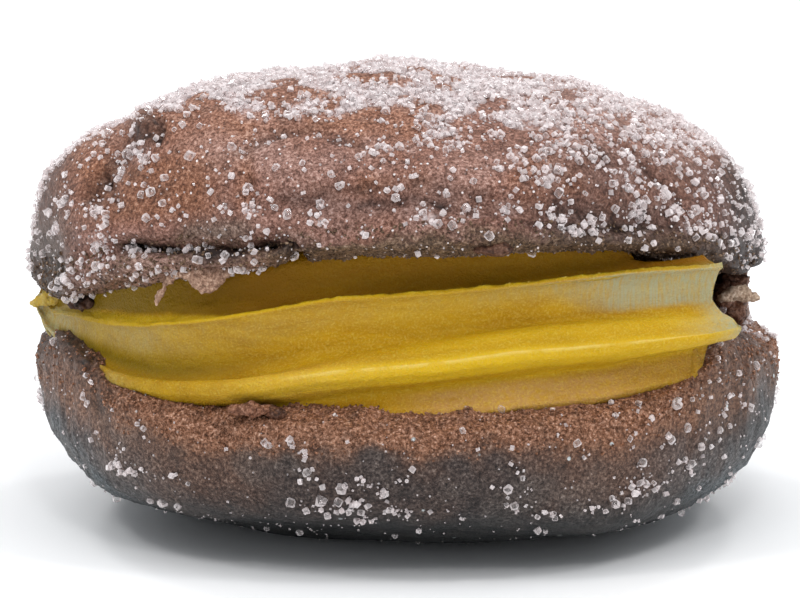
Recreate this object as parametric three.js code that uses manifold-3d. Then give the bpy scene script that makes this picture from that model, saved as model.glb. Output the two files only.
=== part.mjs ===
// A filled doughnut: a round fried bun cut open from the front and still joined at the back, with a
// star-piped rope of custard lying in the cut and coarse sugar stuck to the crust.
// Millimetres, +Z up. The origin is under the middle of the bun, on the surface it stands on.
// -Y is the open front, +Y the uncut back, and the rope of custard runs along X.
import * as THREE from "three";
import { mergeVertices } from "three/addons/utils/BufferGeometryUtils.js";
import Module from "manifold-3d";

// ---------------------------------------------------------------- driving dimensions

const bun = { halfWidth: 41.9, halfDepth: 40, planPower: 2.12 };

// The lower half. Its widest ring is at ringHeight, and its cut face slopes down to the front.
const base = {
  offsetX: 0.4,
  ringHeight: 15.6,
  upperHeight: 5.8,
  upperPower: 5,
  upperLatitudes: [9, 20, 30, 38, 46, 56, 70, 90],
  lowerHeight: 16.3,
  lowerPower: 2.75,
  lowerLatitudes: [8, 17, 26, 34, 42, 50, 59, 68, 90],
  underHollow: 0,
  frontDrop: 0,
  cheeks: [],
  leftLean: 0,
  lumpShare: 0.6,
  forwardSlope: 0.06,
  columns: 68,
};

// The upper half, modelled level and then tipped back on the uncut stretch.
const crown = {
  offsetX: -0.4,
  ringHeight: 30.2,
  upperHeight: 19.9,
  upperPower: 2.06,
  upperLatitudes: [3, 6, 10, 14, 19, 24, 30, 36, 43, 50, 58, 66, 76, 90],
  lowerHeight: 3.7,
  lowerPower: 9,
  lowerLatitudes: [14, 26, 36, 44, 51, 62, 90],
  underHollow: 1.6,
  frontDrop: 0.05,
  cheeks: [
    { longitude: -150, drop: 2.7, width: 20 },
    { longitude: -24, drop: 1.9, width: 11 },
  ],
  leftLean: 0.09,
  lumpShare: 1,
  tipDegrees: 14.5,
  rollDegrees: 1,
  columns: 84,
};

// The uncut stretch at the back.
const hinge = { x: 0, y: 9, z: 21.8, halfX: 40.3, halfY: 31.9, halfZ: 10 };

// Soft unevenness of the fried dough: waves of these lengths, summing to about this height.
const lumps = { waves: 9, shortest: 13, longest: 34, height: 0.75, seed: 41 };

// The deep fold above the lip at the front left, and the shallow one that carries on to the right.
const folds = [
  { left: -35, right: -8, level: -2.9, rise: 0, depth: 2.0, width: 1.1 },
  { left: -16, right: 33, level: 0.9, rise: -0.05, depth: 0.8, width: 1.7 },
];

// The scorched nub high on the left shoulder, and the hollow that runs down from it.
const nub = { x: -26.9, z: 9.8, radius: 2.0, height: 1.5 };
const hollow = { topX: -28.6, topZ: 8.6, footX: -32.8, footZ: 3.6, width: 1.4, depth: 1.2 };

// The rope of custard, piped through a star nozzle and settled on the dough. Its path bows back at
// both ends, and its left end is thinned, drawn back and drawn up.
const rope = {
  leftX: -40,
  rightX: 31.2,
  frontY: -27.4,
  bow: 76,
  height: 26.75,
  slope: 0.088,
  leftDrop: 2.5,
  tailLength: 0.39,
  topTailLength: 0.22,
  topSink: 0.58,
  tailEnd: 0.42,
  tailBack: 14.5,
  tailRise: 2.4,
  tailSize: 0.18,
  stations: 30,
};

// The rope's outline, anticlockwise: how far each point lies in front of the middle, how far above it,
// and how far the piping tip dragged it along the rope at the right end.
const ropeOutline = [
  [7.2, -1.1, -0.8],
  [7.35, 1.2, -0.5],
  [7.9, 3.1, 0],
  [8.35, 3.75, 0.1],
  [7.7, 4.3, 0],
  [6.2, 5.1, -0.8],
  [5.0, 6.2, -1.6],
  [4.5, 7.8, -2.6],
  [3.8, 9.0, -3.0],
  [1.5, 8.8, -3.0],
  [-3.5, 8.0, -2],
  [-8.0, 4.5, 0],
  [-9.3, -1.0, 0],
  [-7.5, -7.5, 0],
  [-1.0, -10.3, -1],
  [6.5, -10.4, -2.5],
  [8.6, -9.5, -2.5],
  [7.6, -8.0, -1.6],
  [6.9, -6.7, -0.6],
  [7.6, -5.0, -0.2],
  [9.4, -3.9, 0.7],
  [10.3, -3.3, 0.9],
  [9.6, -2.6, 0.6],
  [8.1, -2.0, -0.3],
];

// The custard spread behind the rope, back to the end of the cut, and the bit squeezed out at the left.
const spread = { halfX: 33, halfY: 23, halfZ: 6.2, x: 0, y: -7, z: 24.0, tipDegrees: 3 };
const squeezed = { halfX: 1.9, halfY: 5.5, halfZ: 2.3, x: -39.7, y: -6, z: 24.6, tipDegrees: -14 };

// Bits of torn crumb: at the right and left ends of the cut, under the lip and on the rim.
const crumbs = [
  { x: 38.6, y: 2, z: 26.3, halfX: 1.9, halfY: 5, halfZ: 1.7 },
  { x: 39.6, y: 0, z: 25.0, halfX: 1.5, halfY: 3, halfZ: 1.0 },
  { x: 37.8, y: 2.5, z: 22.9, halfX: 1.9, halfY: 5, halfZ: 2.0 },
  { x: -38.2, y: 4, z: 25.8, halfX: 1.9, halfY: 4, halfZ: 2.0 },
  { x: -37.6, y: 3, z: 22.8, halfX: 1.8, halfY: 4, halfZ: 1.9 },
  { x: -35.6, y: -17.2, z: 26.5, halfX: 1.6, halfY: 1.8, halfZ: 1.7 },
  { x: -14.0, y: -36.2, z: 18.7, halfX: 1.6, halfY: 1.2, halfZ: 0.9 },
  { x: 9.4, y: -39.0, z: 34.9, halfX: 2.2, halfY: 1.0, halfZ: 0.8 },
  { x: -20.5, y: -31.6, z: 31.9, halfX: 1.2, halfY: 0.7, halfZ: 1.1 },
];

// The thin strand of crumb that hangs from the lip.
const strand = {
  points: [
    [-20.6, -31.0, 33.6],
    [-22.6, -31.0, 32.4],
    [-24.0, -30.8, 32.1],
    [-25.1, -30.5, 31.4],
    [-25.9, -30.4, 30.2],
    [-26.4, -30.4, 28.7],
  ],
  thick: 0.62,
  thin: 0.34,
  stations: 8,
  sides: 5,
};

const clearance = 0.3; // between the custard and the dough pressed round it

// Coarse sugar: the largest crystals, thickest on the crown.
const sugar = { onCrown: 60, onBase: 20, smallest: 1.0, largest: 1.7, sunk: 0.3, seed: 7 };

// ---------------------------------------------------------------- small helpers

const radians = THREE.MathUtils.degToRad;
const smooth = THREE.MathUtils.smoothstep;
const GOLDEN_ANGLE = Math.PI * (3 - Math.sqrt(5));

// A repeatable source of numbers from 0 to 1.
function seeded(seed) {
  let state = seed;
  return () => (state = (state * 16807) % 2147483647) / 2147483647;
}

// 1 between low and high, falling smoothly to 0 over `soft` on each side.
function between(value, low, high, soft) {
  return smooth(value, low, low + soft) * (1 - smooth(value, high - soft, high));
}

// A smooth uneven height for any point, made of a few waves in seeded directions.
function makeWaves({ waves, shortest, longest, height, seed }) {
  const draw = seeded(seed);
  const made = [];
  for (let i = 0; i < waves; i += 1) {
    const up = 2 * draw() - 1;
    const turn = 2 * Math.PI * draw();
    const flat = Math.sqrt(1 - up * up);
    const length = shortest + (longest - shortest) * draw();
    const direction = new THREE.Vector3(flat * Math.cos(turn), flat * Math.sin(turn), up);
    made.push({ k: direction.multiplyScalar((2 * Math.PI) / length), phase: 2 * Math.PI * draw() });
  }
  const each = height / Math.sqrt(waves);
  return (p) => made.reduce((sum, wave) => sum + each * Math.sin(wave.k.dot(p) + wave.phase), 0);
}

const lump = makeWaves(lumps);

const wasm = await Module();
wasm.setup();

function toSolid(geometry) {
  const bare = geometry.clone();
  bare.deleteAttribute("normal");
  bare.deleteAttribute("uv");
  const merged = mergeVertices(bare, 1e-4);
  return new wasm.Manifold(
    new wasm.Mesh({
      numProp: 3,
      vertProperties: merged.attributes.position.array,
      triVerts: new Uint32Array(merged.index.array),
    }),
  );
}

// The outermost skin of a solid, without the loose scraps and sealed hollows that cuts and joins leave.
function withoutScraps(solid) {
  return solid.decompose().reduce((kept, body) => (body.volume() > kept.volume() ? body : kept));
}

function toGeometry(solid) {
  const mesh = solid.getMesh();
  const geometry = new THREE.BufferGeometry();
  geometry.setAttribute("position", new THREE.BufferAttribute(mesh.vertProperties, 3));
  geometry.setIndex(new THREE.BufferAttribute(mesh.triVerts, 1));
  geometry.computeVertexNormals();
  return geometry;
}

// ---------------------------------------------------------------- the dough

// How much lower the lip hangs at a longitude, where the dough bulges down beside the mouth.
function cheekDrop(half, longitude) {
  return half.cheeks.reduce((sum, cheek) => {
    const away = (longitude - radians(cheek.longitude)) / radians(cheek.width);
    return sum + cheek.drop * Math.exp(-(away ** 2));
  }, 0);
}

// Where a half of the bun lies for a longitude round Z and a latitude from its widest ring, with the
// direction its surface faces. Each half is a superellipsoid, squarer under the crown and over the base.
function halfSurface(half, longitude, latitude) {
  const above = latitude > 0;
  const power = above ? half.upperPower : half.lowerPower;
  const height = above ? half.upperHeight : half.lowerHeight;
  const outward = Math.abs(Math.cos(latitude));
  const upward = Math.abs(Math.sin(latitude));
  const reach = (outward ** power + upward ** power) ** (-1 / power);
  const across = Math.cos(longitude);
  const along = Math.sin(longitude);
  const plan =
    (Math.abs(across) ** bun.planPower + Math.abs(along) ** bun.planPower) ** (-1 / bun.planPower);
  const flat = outward * reach;
  const tall = upward * reach * (above ? 1 : -1);
  const y = bun.halfDepth * plan * along * flat;
  let z = height * tall;
  if (!above) {
    z += half.underHollow * (1 - flat * flat) + (half.frontDrop * y - cheekDrop(half, longitude)) * -tall;
  }
  const x = bun.halfWidth * plan * across * flat + half.offsetX - half.leftLean * Math.max(z, 0);
  const point = new THREE.Vector3(x, y, z);
  const lean = flat ** (power - 1);
  const normal = new THREE.Vector3(
    (lean * across) / bun.halfWidth,
    (lean * along) / bun.halfDepth,
    (Math.abs(tall) ** (power - 1) * Math.sign(tall)) / height,
  ).normalize();
  return { point, normal };
}

// How far the crown's skin is pushed in by its folds and the hollow, and out by the nub.
function crownRelief(p) {
  let relief = 0;
  const front = smooth(-p.y, 4, 12);
  for (const fold of folds) {
    const level = fold.level + fold.rise * p.x;
    const reach = between(p.x, fold.left, fold.right, 7);
    relief -= front * fold.depth * reach * Math.exp(-(((p.z - level) / fold.width) ** 2));
  }
  const fromNub = Math.hypot(p.x - nub.x, p.z - nub.z);
  relief += front * nub.height * Math.exp(-((fromNub / nub.radius) ** 2));
  const share = THREE.MathUtils.clamp((hollow.topZ - p.z) / (hollow.topZ - hollow.footZ), 0, 1);
  const middle = THREE.MathUtils.lerp(hollow.topX, hollow.footX, share);
  const inHollow = between(p.z, hollow.footZ - 2, hollow.topZ + 2, 2);
  relief -= front * hollow.depth * inHollow * Math.exp(-(((p.x - middle) / hollow.width) ** 2));
  return relief;
}

const crownPlace = new THREE.Matrix4()
  .makeTranslation(0, 0, crown.ringHeight)
  .multiply(new THREE.Matrix4().makeRotationY(-radians(crown.rollDegrees)))
  .multiply(new THREE.Matrix4().makeRotationX(-radians(crown.tipDegrees)));

function crownSurface(longitude, latitude) {
  const { point, normal } = halfSurface(crown, longitude, latitude);
  point.addScaledVector(normal, crown.lumpShare * lump(point) + crownRelief(point));
  return { point: point.applyMatrix4(crownPlace), normal: normal.transformDirection(crownPlace) };
}

function baseSurface(longitude, latitude) {
  const { point, normal } = halfSurface(base, longitude, latitude);
  point.z += base.ringHeight;
  point.addScaledVector(normal, base.lumpShare * lump(point));
  point.z += base.forwardSlope * point.y * smooth(point.z, 0, base.ringHeight + base.upperHeight);
  point.z = Math.max(point.z, 0); // the small flat that the bun stands on
  return { point, normal };
}

// A closed skin over a half: a lathed ball with rings at the half's latitudes, each of its points then
// moved to where the half's surface is.
function halfGeometry(half, surface) {
  const lower = half.lowerLatitudes.map((latitude) => -radians(latitude)).reverse();
  const latitudes = [...lower, 0, ...half.upperLatitudes.map(radians)];
  const outline = latitudes.map((t) => new THREE.Vector2(Math.max(0, Math.cos(t)), Math.sin(t)));
  outline[0].x = 0;
  outline[outline.length - 1].x = 0;
  const geometry = new THREE.LatheGeometry(outline, half.columns);
  geometry.rotateX(Math.PI / 2);
  const position = geometry.attributes.position;
  const direction = new THREE.Vector3();
  for (let i = 0; i < position.count; i += 1) {
    direction.fromBufferAttribute(position, i);
    const longitude = Math.atan2(direction.y, direction.x);
    const latitude = Math.asin(THREE.MathUtils.clamp(direction.z, -1, 1));
    position.setXYZ(i, ...surface(longitude, latitude).point);
  }
  return geometry;
}

// ---------------------------------------------------------------- the custard

// A closed skin round a path. outlineAt(share) gives the outline at that share of the length, as points
// of how far in front of the path, how far above it and how far on along it. The last builds up along
// the length, to its full value at the end.
function sweep(path, outlineAt, stations) {
  const vertices = [];
  const up = new THREE.Vector3(0, 0, 1);
  const sides = outlineAt(0).length;
  for (let i = 0; i <= stations; i += 1) {
    const share = i / stations;
    const tangent = path(Math.min(1, share + 1e-3)).sub(path(Math.max(0, share - 1e-3))).normalize();
    const front = tangent.clone().cross(up).normalize();
    const top = front.clone().cross(tangent);
    for (const point of outlineAt(share)) {
      const at = path(share).addScaledVector(front, point.x).addScaledVector(top, point.y);
      vertices.push(...at.addScaledVector(tangent, point.z * share ** 3));
    }
  }
  const first = vertices.length / 3;
  for (const ring of [0, stations]) {
    const middle = new THREE.Vector3();
    for (let j = ring * sides; j < (ring + 1) * sides; j += 1) {
      middle.add(new THREE.Vector3().fromArray(vertices, 3 * j).divideScalar(sides));
    }
    vertices.push(...middle);
  }
  const faces = [];
  for (let j = 0; j < sides; j += 1) {
    const next = (j + 1) % sides;
    for (let i = 0; i < stations; i += 1) {
      const here = i * sides;
      const ahead = here + sides;
      faces.push(here + j, ahead + next, here + next, here + j, ahead + j, ahead + next);
    }
    faces.push(first, j, next);
    faces.push(first + 1, stations * sides + next, stations * sides + j);
  }
  const geometry = new THREE.BufferGeometry();
  geometry.setAttribute("position", new THREE.Float32BufferAttribute(vertices, 3));
  geometry.setIndex(faces);
  return geometry;
}

// A ball stretched to half sizes along its axes and moved to its place.
function ball({ x, y, z, halfX, halfY, halfZ, tipDegrees = 0 }, grown, around, rows) {
  const geometry = new THREE.SphereGeometry(1, around, rows);
  geometry.rotateX(Math.PI / 2);
  geometry.scale(halfX + grown, halfY + grown, halfZ + grown);
  geometry.rotateX(-radians(tipDegrees));
  geometry.translate(x, y, z);
  return toSolid(geometry);
}

function ropeMiddle(share) {
  const x = THREE.MathUtils.lerp(rope.leftX, rope.rightX, share);
  const tail = (1 - smooth(share, 0, rope.tailEnd)) ** 2;
  const y = rope.frontY + (x * x) / (2 * rope.bow) + rope.tailBack * tail;
  const z = rope.height + rope.slope * x - rope.leftDrop * smooth(-x, 5, 30) + rope.tailRise * tail;
  return new THREE.Vector3(x, y, z);
}

function starRope(grown) {
  const outlineAt = (share) => {
    return ropeOutline.map(([front, above, dragged]) => {
      const sunk = 1 - rope.topSink * smooth(above, 4, 6.5) * smooth(share, 0.62, 0.95);
      const long = THREE.MathUtils.lerp(rope.tailLength, rope.topTailLength, smooth(above, 3, 7));
      const opened = Math.sin((Math.PI / 2) * Math.min(1, share / long));
      const grow = THREE.MathUtils.lerp(rope.tailSize, 1, opened) + grown / Math.hypot(front, above);
      return new THREE.Vector3(front * grow, above * grow * sunk, dragged + grown);
    });
  };
  return toSolid(sweep(ropeMiddle, outlineAt, rope.stations));
}

function custard(grown) {
  const piped = starRope(grown).add(ball(spread, grown, 30, 12));
  return withoutScraps(piped.add(ball(squeezed, grown, 12, 8)));
}

// ---------------------------------------------------------------- the sugar

// One crystal is a cube turned at random and sunk a little into the crust at the given place.
function crystal({ point, normal }, draw) {
  const size = sugar.smallest + (sugar.largest - sugar.smallest) * draw() ** 2;
  const geometry = new THREE.BoxGeometry(size, size * (0.75 + 0.25 * draw()), size * (0.75 + 0.25 * draw()));
  geometry.rotateX(2 * Math.PI * draw());
  geometry.rotateY(2 * Math.PI * draw());
  geometry.rotateZ(2 * Math.PI * draw());
  const at = point.clone().addScaledVector(normal, size * (0.5 - sugar.sunk));
  geometry.translate(...at);
  return toSolid(geometry);
}

// Crystals on an even spiral of directions between two latitudes.
function crystals(surface, count, lowest, highest, draw) {
  const made = [];
  for (let i = 0; i < count; i += 1) {
    const up = THREE.MathUtils.lerp(Math.sin(lowest), Math.sin(highest), (i + 0.5) / count);
    made.push(crystal(surface(i * GOLDEN_ANGLE, Math.asin(up)), draw));
  }
  return made;
}

// ---------------------------------------------------------------- the part

function hangingStrand() {
  const curve = new THREE.CatmullRomCurve3(strand.points.map((point) => new THREE.Vector3(...point)));
  const circle = (share) => {
    const radius = THREE.MathUtils.lerp(strand.thick, strand.thin, share);
    return Array.from({ length: strand.sides }, (_, i) => {
      const turn = (2 * Math.PI * i) / strand.sides;
      return new THREE.Vector3(radius * Math.cos(turn), radius * Math.sin(turn), 0);
    });
  };
  return toSolid(sweep((share) => curve.getPoint(share), circle, strand.stations));
}

function dough() {
  const draw = seeded(sugar.seed);
  let solid = toSolid(halfGeometry(crown, crownSurface)).add(toSolid(halfGeometry(base, baseSurface)));
  solid = solid.add(ball(hinge, 0, 48, 14));
  for (const crumb of crumbs) {
    solid = solid.add(ball(crumb, 0, 10, 6));
  }
  solid = solid.add(hangingStrand());
  for (const one of crystals(crownSurface, sugar.onCrown, radians(4), radians(88), draw)) {
    solid = solid.add(one);
  }
  for (const one of crystals(baseSurface, sugar.onBase, radians(-38), radians(4), draw)) {
    solid = solid.add(one);
  }
  return withoutScraps(solid.subtract(custard(clearance)));
}

const crust = new THREE.MeshStandardMaterial({ color: 0x7a5542, roughness: 0.75, metalness: 0 });
const yolkYellow = new THREE.MeshStandardMaterial({ color: 0xd9a416, roughness: 0.35, metalness: 0 });

const doughMesh = new THREE.Mesh(toGeometry(dough()), crust);
doughMesh.name = "dough";
const custardMesh = new THREE.Mesh(toGeometry(custard(0)), yolkYellow);
custardMesh.name = "filling";

const doughnut = new THREE.Group();
doughnut.add(doughMesh, custardMesh);

export default doughnut;
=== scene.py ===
import math

import bmesh
import bpy
import numpy as np
from mathutils import Matrix, Vector, noise


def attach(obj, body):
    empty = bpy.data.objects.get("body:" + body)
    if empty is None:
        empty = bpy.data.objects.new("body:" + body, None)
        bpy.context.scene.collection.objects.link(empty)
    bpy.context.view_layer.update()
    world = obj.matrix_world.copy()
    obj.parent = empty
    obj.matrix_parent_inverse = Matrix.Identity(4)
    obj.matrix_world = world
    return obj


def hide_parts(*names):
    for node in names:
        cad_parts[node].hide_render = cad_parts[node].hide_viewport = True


# A custard filled doughnut: a fried bun cut open at the front, a star-piped rope of custard in the cut
# and granulated sugar all over the crust. Lengths are in millimetres until a mesh is written.
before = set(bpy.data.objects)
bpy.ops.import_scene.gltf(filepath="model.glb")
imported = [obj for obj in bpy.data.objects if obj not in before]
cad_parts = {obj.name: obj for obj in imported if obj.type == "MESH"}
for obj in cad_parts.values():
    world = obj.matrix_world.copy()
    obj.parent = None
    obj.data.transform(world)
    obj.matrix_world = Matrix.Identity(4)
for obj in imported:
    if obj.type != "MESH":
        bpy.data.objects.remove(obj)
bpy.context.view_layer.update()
metre = 0.001
far = 1e4  # past every piece, for a stretch that is open at one end
tiny = 1e-3  # share of a curve's length over which its direction is taken


def smooth(value, low, high):
    share = np.clip((value - low) / (high - low), 0, 1)
    return share * share * (3 - 2 * share)


def between(value, low, high, soft):
    return smooth(value, low, low + soft) * (1 - smooth(value, high - soft, high))


def bell(value, middle, width):
    return np.exp(-((value - middle) / width) ** 2)


def within(value, span):
    # 1 between a low and a high end with a softness, or about a middle with a width, or everywhere
    if not span:
        return 1
    return between(value, *span) if len(span) == 3 else bell(value, *span)


def mixed(first, second, share):
    return first + (second - first) * share


def grain(points, size, octaves=2, shift=0.0):
    # uneven heights from about -1 to 1, with humps of about this size in millimetres
    places = (points / size + shift).tolist()
    return np.array([noise.fractal(place, 1.0, 2.0, octaves) for place in places])


def rough(points, rows):
    # relief summed from rows of height, size of the humps, octaves and shift
    return sum(height * grain(points, *row) for height, *row in rows)


def painted(names, patches, masks, across, up):
    # a skin's marks, each the sum of its patches: a mask, how strongly, and where across and where up
    marks = dict.fromkeys(names, 0)
    for mark, mask, strength, *spans in patches:
        share = strength * masks[mask]
        for value, span in zip((across, up), spans):
            share = share * within(value, span)
        marks[mark] = marks[mark] + share
    return marks


def fromHex(code):
    # an sRGB hex colour as Blender's linear one
    parts = [int(code[i:i + 2], 16) / 255 for i in (1, 3, 5)]
    return [c / 12.92 if c <= 0.04045 else ((c + 0.055) / 1.055) ** 2.4 for c in parts] + [1.0]


def tipped(degrees, axis):
    turn, c, s = np.eye(3), math.cos(math.radians(degrees)), math.sin(math.radians(degrees))
    one, two = {"x": (1, 2), "y": (2, 0), "z": (0, 1)}[axis]
    turn[one, one] = turn[two, two] = c
    turn[one, two], turn[two, one] = -s, s
    return turn


rangeInputs = ("Value", "From Min", "From Max", "To Min", "To Max")
plus = {"operation": "ADD", "use_clamp": True}
times = {"operation": "MULTIPLY", "use_clamp": True}
blend = {"data_type": "RGBA"}


def addNode(tree, kind, settings=None, links=None):
    # one node with its settings, and its inputs given by name or number as values or as other outputs
    node = tree.nodes.new(kind)
    for name, value in (settings or {}).items():
        setattr(node, name, value)
    for name, value in (links or {}).items():
        if isinstance(value, bpy.types.NodeSocket):
            tree.links.new(value, node.inputs[name])
        else:
            node.inputs[name].default_value = value
    return node


def newMaterial(name, constants):
    # a material with the constants of its shader set on the sockets themselves
    material = bpy.data.materials.new(name)
    material.use_nodes = True
    shader = material.node_tree.nodes["Principled BSDF"]
    for socket, value in constants.items():
        shader.inputs[socket].default_value = value
    return material, material.node_tree, shader


def dressed(name, mesh, material, node):
    # makes the object of a finished mesh, puts it under the root and hides the part of its node
    mesh.materials.append(material)
    piece = bpy.data.objects.new(name, mesh)
    bpy.context.scene.collection.objects.link(piece)
    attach(piece, "root")
    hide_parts(node)


def makePiece(name, bm, points, material, slot, node, marks):
    # writes the points, in millimetres, and their marks into the shape's mesh: a mark not given is 0
    mesh = bpy.data.meshes.new(name)
    bm.to_mesh(mesh)
    bm.free()
    mesh.vertices.foreach_set("co", (points * metre).astype(np.float32).ravel())
    for mark in custardMarks if slot == "custard" else crustMarks:
        values = np.clip(marks.get(mark, 0) + np.zeros(len(points)), 0, 1)
        mesh.attributes.new(mark, "FLOAT", "POINT").data.foreach_set("value", values.astype(np.float32))
    mesh.update()
    mesh.shade_smooth()
    dressed(name, mesh, material, node)


def cubeBall(cuts):
    # a ball of even quads, with the direction of each of its vertices
    bm = bmesh.new()
    bmesh.ops.create_cube(bm, size=2)
    bmesh.ops.subdivide_edges(bm, edges=bm.edges[:], cuts=cuts, use_grid_fill=True)
    corners = np.tan(np.array([v.co for v in bm.verts]) * math.pi / 4)
    return bm, corners / np.linalg.norm(corners, axis=1)[:, None]


def quadsOf(bm):
    return np.array([[v.index for v in face.verts] for face in bm.faces])


def poleGrid(columns, rings):
    # a closed tube from a ball: each vertex's share round it and its ring, counted from pole to pole
    bm = bmesh.new()
    bmesh.ops.create_uvsphere(bm, u_segments=columns, v_segments=rings, radius=1)
    at = np.array([v.co for v in bm.verts])
    ring = np.rint((np.arcsin(np.clip(at[:, 2], -1, 1)) / math.pi + 0.5) * rings).astype(int)
    turn = (np.arctan2(at[:, 1], at[:, 0]) / (2 * math.pi)) % 1.0
    return bm, (np.rint(turn * columns).astype(int) % columns) / columns, ring


def curveThrough(rows, shares):
    # a Catmull-Rom curve through the rows, at shares of its length
    rows = np.array(rows, float)
    rows = np.vstack([2 * rows[0] - rows[1], rows, 2 * rows[-1] - rows[-2]])
    at = np.clip(shares, 0, 0.99999) * (len(rows) - 3)
    i, t = at.astype(int), (at - at.astype(int))[:, None]
    a, b, c, d = (rows[i + k] for k in range(4))
    square, cube = 2 * a - 5 * b + 4 * c - d, 3 * b - a - 3 * c + d
    return 0.5 * (2 * b + (c - a) * t + square * t ** 2 + cube * t ** 3)


def ribbon(rows, columns, rings):
    # a closed tube of oval section: rows are x, y, z, half height and half thickness along its middle
    bm, turn, ring = poleGrid(columns, rings)
    share = ring / rings
    row = curveThrough(rows, share)
    ahead = (curveThrough(rows, share + tiny) - curveThrough(rows, share - tiny))[:, :3]
    ahead /= np.linalg.norm(ahead, axis=1)[:, None]
    out = np.cross(ahead, (0, 0, 1.0))
    out /= np.linalg.norm(out, axis=1)[:, None]
    up, angle = np.cross(out, ahead), turn * 2 * math.pi
    closing = np.sqrt(np.clip(1 - (2 * share - 1) ** 8, 0, 1))
    aside = up * np.cos(angle)[:, None] + out * np.sin(angle)[:, None]
    reach = up * (row[:, 3] * np.cos(angle))[:, None] + out * (row[:, 4] * np.sin(angle))[:, None]
    return bm, row[:, :3] + reach * closing[:, None], aside * closing[:, None], share


view = {"distance": 450, "elevation": 10, "aimX": -0.23, "aimZ": 24, "lens": 177.4}


def makeCamera():
    tilt = math.radians(view["elevation"])
    data = bpy.data.cameras.new("camera")
    data.lens = view["lens"]
    data.sensor_width = 36
    data.sensor_fit = "HORIZONTAL"
    data.clip_start = 0.01
    camera = bpy.data.objects.new("camera", data)
    bpy.context.scene.collection.objects.link(camera)
    away = Vector((0, -math.cos(tilt), math.sin(tilt))) * view["distance"]
    camera.location = (Vector((view["aimX"], 0, view["aimZ"])) + away) * metre
    camera.rotation_euler = (math.pi / 2 - tilt, 0, 0)
    bpy.context.scene.camera = camera


studio = {
    "floorColour": "#fbfbfb", "floorHalf": 6000, "floorHeight": -0.2,
    "surround": "#f4f8fd", "surroundStrength": 0.68,
    "skyFrom": (0, -0.3, 1), "skyStrength": 1.15, "skyAngle": 80,  # one wide soft light from above
    "aimHeight": 25, "softboxColour": "#ffffff",
    "softboxes": {  # place in mm, side in mm, watts: small enough to leave glints on the crystals
        "leftSoftbox": ((-420, -300, 620), 110, 0.8),
        "rightSoftbox": ((460, -240, 600), 110, 0.8),
        "frontSoftbox": ((60, -560, 520), 110, 0.6),
        "leftBackSoftbox": ((-340, 380, 560), 110, 0.7),
        "rightBackSoftbox": ((300, 420, 600), 110, 0.7),
    },
}


def makeStudio():
    scene = bpy.context.scene
    scene.view_settings.view_transform = "Standard"
    world = bpy.data.worlds.new("paleSurround")
    world.use_nodes = True
    background = world.node_tree.nodes["Background"]
    background.inputs["Color"].default_value = fromHex(studio["surround"])
    background.inputs["Strength"].default_value = studio["surroundStrength"]
    scene.world = world

    bm = bmesh.new()
    bmesh.ops.create_grid(bm, x_segments=2, y_segments=2, size=studio["floorHalf"] * metre)
    mesh = bpy.data.meshes.new("floor")
    bm.to_mesh(mesh)
    bm.free()
    mesh.transform(Matrix.Translation((0, 0, studio["floorHeight"] * metre)))
    floor = bpy.data.objects.new("floor", mesh)
    scene.collection.objects.link(floor)
    # matt white painted board: no gloss
    paint = {"Base Color": fromHex(studio["floorColour"]), "Roughness": 0.9}
    board, _, _ = newMaterial("paintedBoard", paint)
    mesh.materials.append(board)

    data = bpy.data.lights.new("softSky", "SUN")
    data.energy = studio["skyStrength"]
    data.angle = math.radians(studio["skyAngle"])
    sky = bpy.data.objects.new("softSky", data)
    sky.rotation_euler = (-Vector(studio["skyFrom"])).to_track_quat("-Z", "Y").to_euler()
    scene.collection.objects.link(sky)

    for name, (place, side, watts) in studio["softboxes"].items():
        data = bpy.data.lights.new(name, "AREA")
        data.shape = "SQUARE"
        data.size = side * metre
        data.energy = watts
        data.color = fromHex(studio["softboxColour"])[:3]
        lamp = bpy.data.objects.new(name, data)
        lamp.location = Vector(place) * metre
        toward = Vector((0, 0, studio["aimHeight"])) - Vector(place)
        lamp.rotation_euler = toward.to_track_quat("-Z", "Y").to_euler()
        scene.collection.objects.link(lamp)


crustMarks = ("warm", "greyToneAndSheen", "frost", "crumb", "bed", "shade")
crownLook = {
    # size in mm, detail and roughness of each noise
    "noises": {"grit": (0.36, 4, 0.75), "fine": (0.2, 2, 0.7), "mottle": (1.9, 4, 0.7), "patch": (8, 2, 0.5)},
    "stops": (0.29, 0.46, 0.58, 0.73),  # where the four shades of each tone lie along the grit
    "plain": ("#3a231a", "#7a5244", "#9c7162", "#ccaa9e"),
    "warm": ("#402213", "#804f36", "#a67358", "#d2aa92"),
    "greyToneAndSheen": ("#1c1b19", "#474239", "#6c675c", "#a8a39d"),
    "frost": ("#674a3f", "#a78073", "#caaaa0", "#eedfda"),
    "crumb": ("#241911", "#564131", "#7c624b", "#b8a08b"),
    "bed": ("#a98780", "#d3bebb", "#e6d9d7", "#f6f0f0"),
    # deep: the dark colour that painted shade and the random dark patches mix toward
    "deep": "#200f09", "speck": "#efe6e4", "speckSpacing": 0.62, "speckShare": 0.2,
    "warmPatches": 0.5, "darkPatches": 0.4, "bedCell": 0.62,
    "roughness": 0.5, "bump": 1.0, "constants": {"IOR": 1.45, "Specular IOR Level": 0.35},
}
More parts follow.
